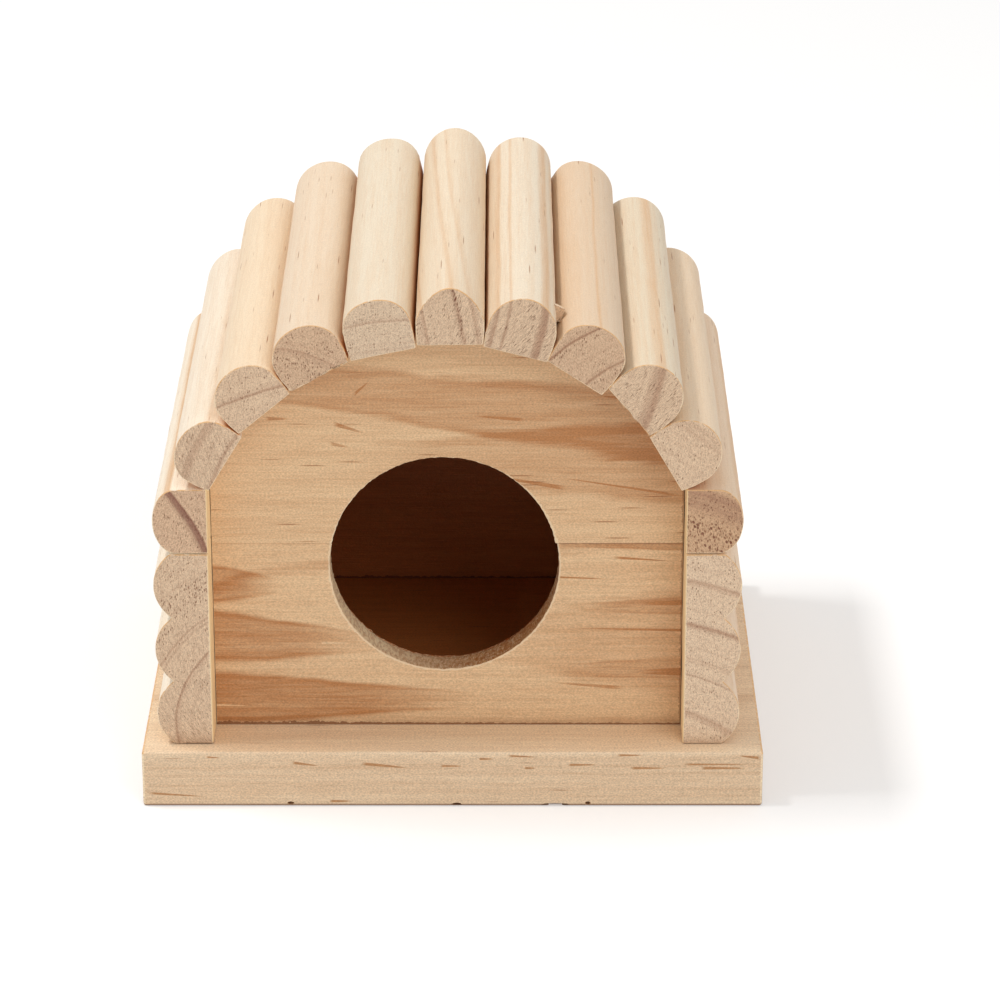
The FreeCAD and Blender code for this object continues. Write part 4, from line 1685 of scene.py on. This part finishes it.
# %% White for the camera
def seen_rays(tree):
    """1 for rays that show a surface to the camera, straight, in gloss or through glass."""
    rays = put(tree, "LightPath", {}).outputs
    straight = calc(tree, "ADD", rays["Is Camera Ray"], rays["Is Glossy Ray"])
    return calc(tree, "ADD", straight, rays["Is Transmission Ray"], clamp=True)


# %% [markdown]
# The floor itself is one large matt plane. Its shader adds the glow to the matt white.
# It belongs to the stage and not to the house.

# %% Stage
floor_glow = 0.262
floor_size = 4

bpy.ops.mesh.primitive_plane_add(size=floor_size, location=(0, 0, 0))
floor = active()
floor.name = "studio_floor"
white = bpy.data.materials.new("studio_white")
white.use_nodes = True
tree = white.node_tree
shader = tree.nodes["Principled BSDF"]
shader.inputs["Base Color"].default_value = (0.8, 0.79, 0.78, 1)
shader.inputs["Roughness"].default_value = 1
shader.inputs["Specular IOR Level"].default_value = 0
glow_strength = calc(tree, "MULTIPLY", seen_rays(tree), floor_glow)
glow = put(tree, "Emission", {"Color": (1, 1, 1, 1), "Strength": glow_strength})
both = put(tree, "AddShader", {0: shader.outputs[0], 1: glow.outputs[0]})
tree.links.new(both.outputs[0], tree.nodes["Material Output"].inputs["Surface"])
floor.data.materials.append(white)
print(f"{floor.name}: {floor.dimensions.x:.0f} m wide")

# %% [markdown]
# Two soft lamps light it: a small key lamp high on the left throws the shadow, and a
# large one in front keeps the sawn ends readable. The white sky fills in from all sides.

# %% Light
def soft_box(name, turn, height, distance, width, depth, power):
    """A rectangular lamp that looks at the house; turn and height are degrees."""
    around = radians(turn)
    up = radians(height)
    place = distance * Vector((cos(up) * cos(around), cos(up) * sin(around), sin(up)))
    aim = (-place).to_track_quat("-Z", "Y").to_euler()
    bpy.ops.object.light_add(type="AREA", location=place, rotation=aim)
    lamp = active()
    lamp.name = name
    lamp.data.energy = power
    lamp.data.shape = "RECTANGLE"
    lamp.data.size = width
    lamp.data.size_y = depth
    print(f"{name}: {power} W at {distance} m")


soft_box("key_lamp", turn=176, height=65.5, distance=1.6, width=0.4, depth=0.17, power=10.4)
soft_box("front_lamp", turn=-60, height=37, distance=1.8, width=0.9, depth=0.9, power=6.7)

# %% [markdown]
# The sky is white and the same in all directions, like the walls of a bright studio. It
# lights the house with little more than half its strength, which leaves the lamps' shadow
# its depth, and shows itself to the camera at full strength, as a clean background.

# %% Sky
sky_light = 0.58

world = bpy.data.worlds.new("studio")
bpy.context.scene.world = world
world.use_nodes = True
tree = world.node_tree
sky = tree.nodes["Background"]
sky.inputs["Color"].default_value = (1, 1, 1, 1)
strength = calc(tree, "MULTIPLY_ADD", seen_rays(tree), 1 - sky_light, sky_light)
tree.links.new(strength, sky.inputs["Strength"])
bpy.context.scene.view_settings.view_transform = "Standard"
print(f"sky at {sky_light}, and white where the camera sees it")
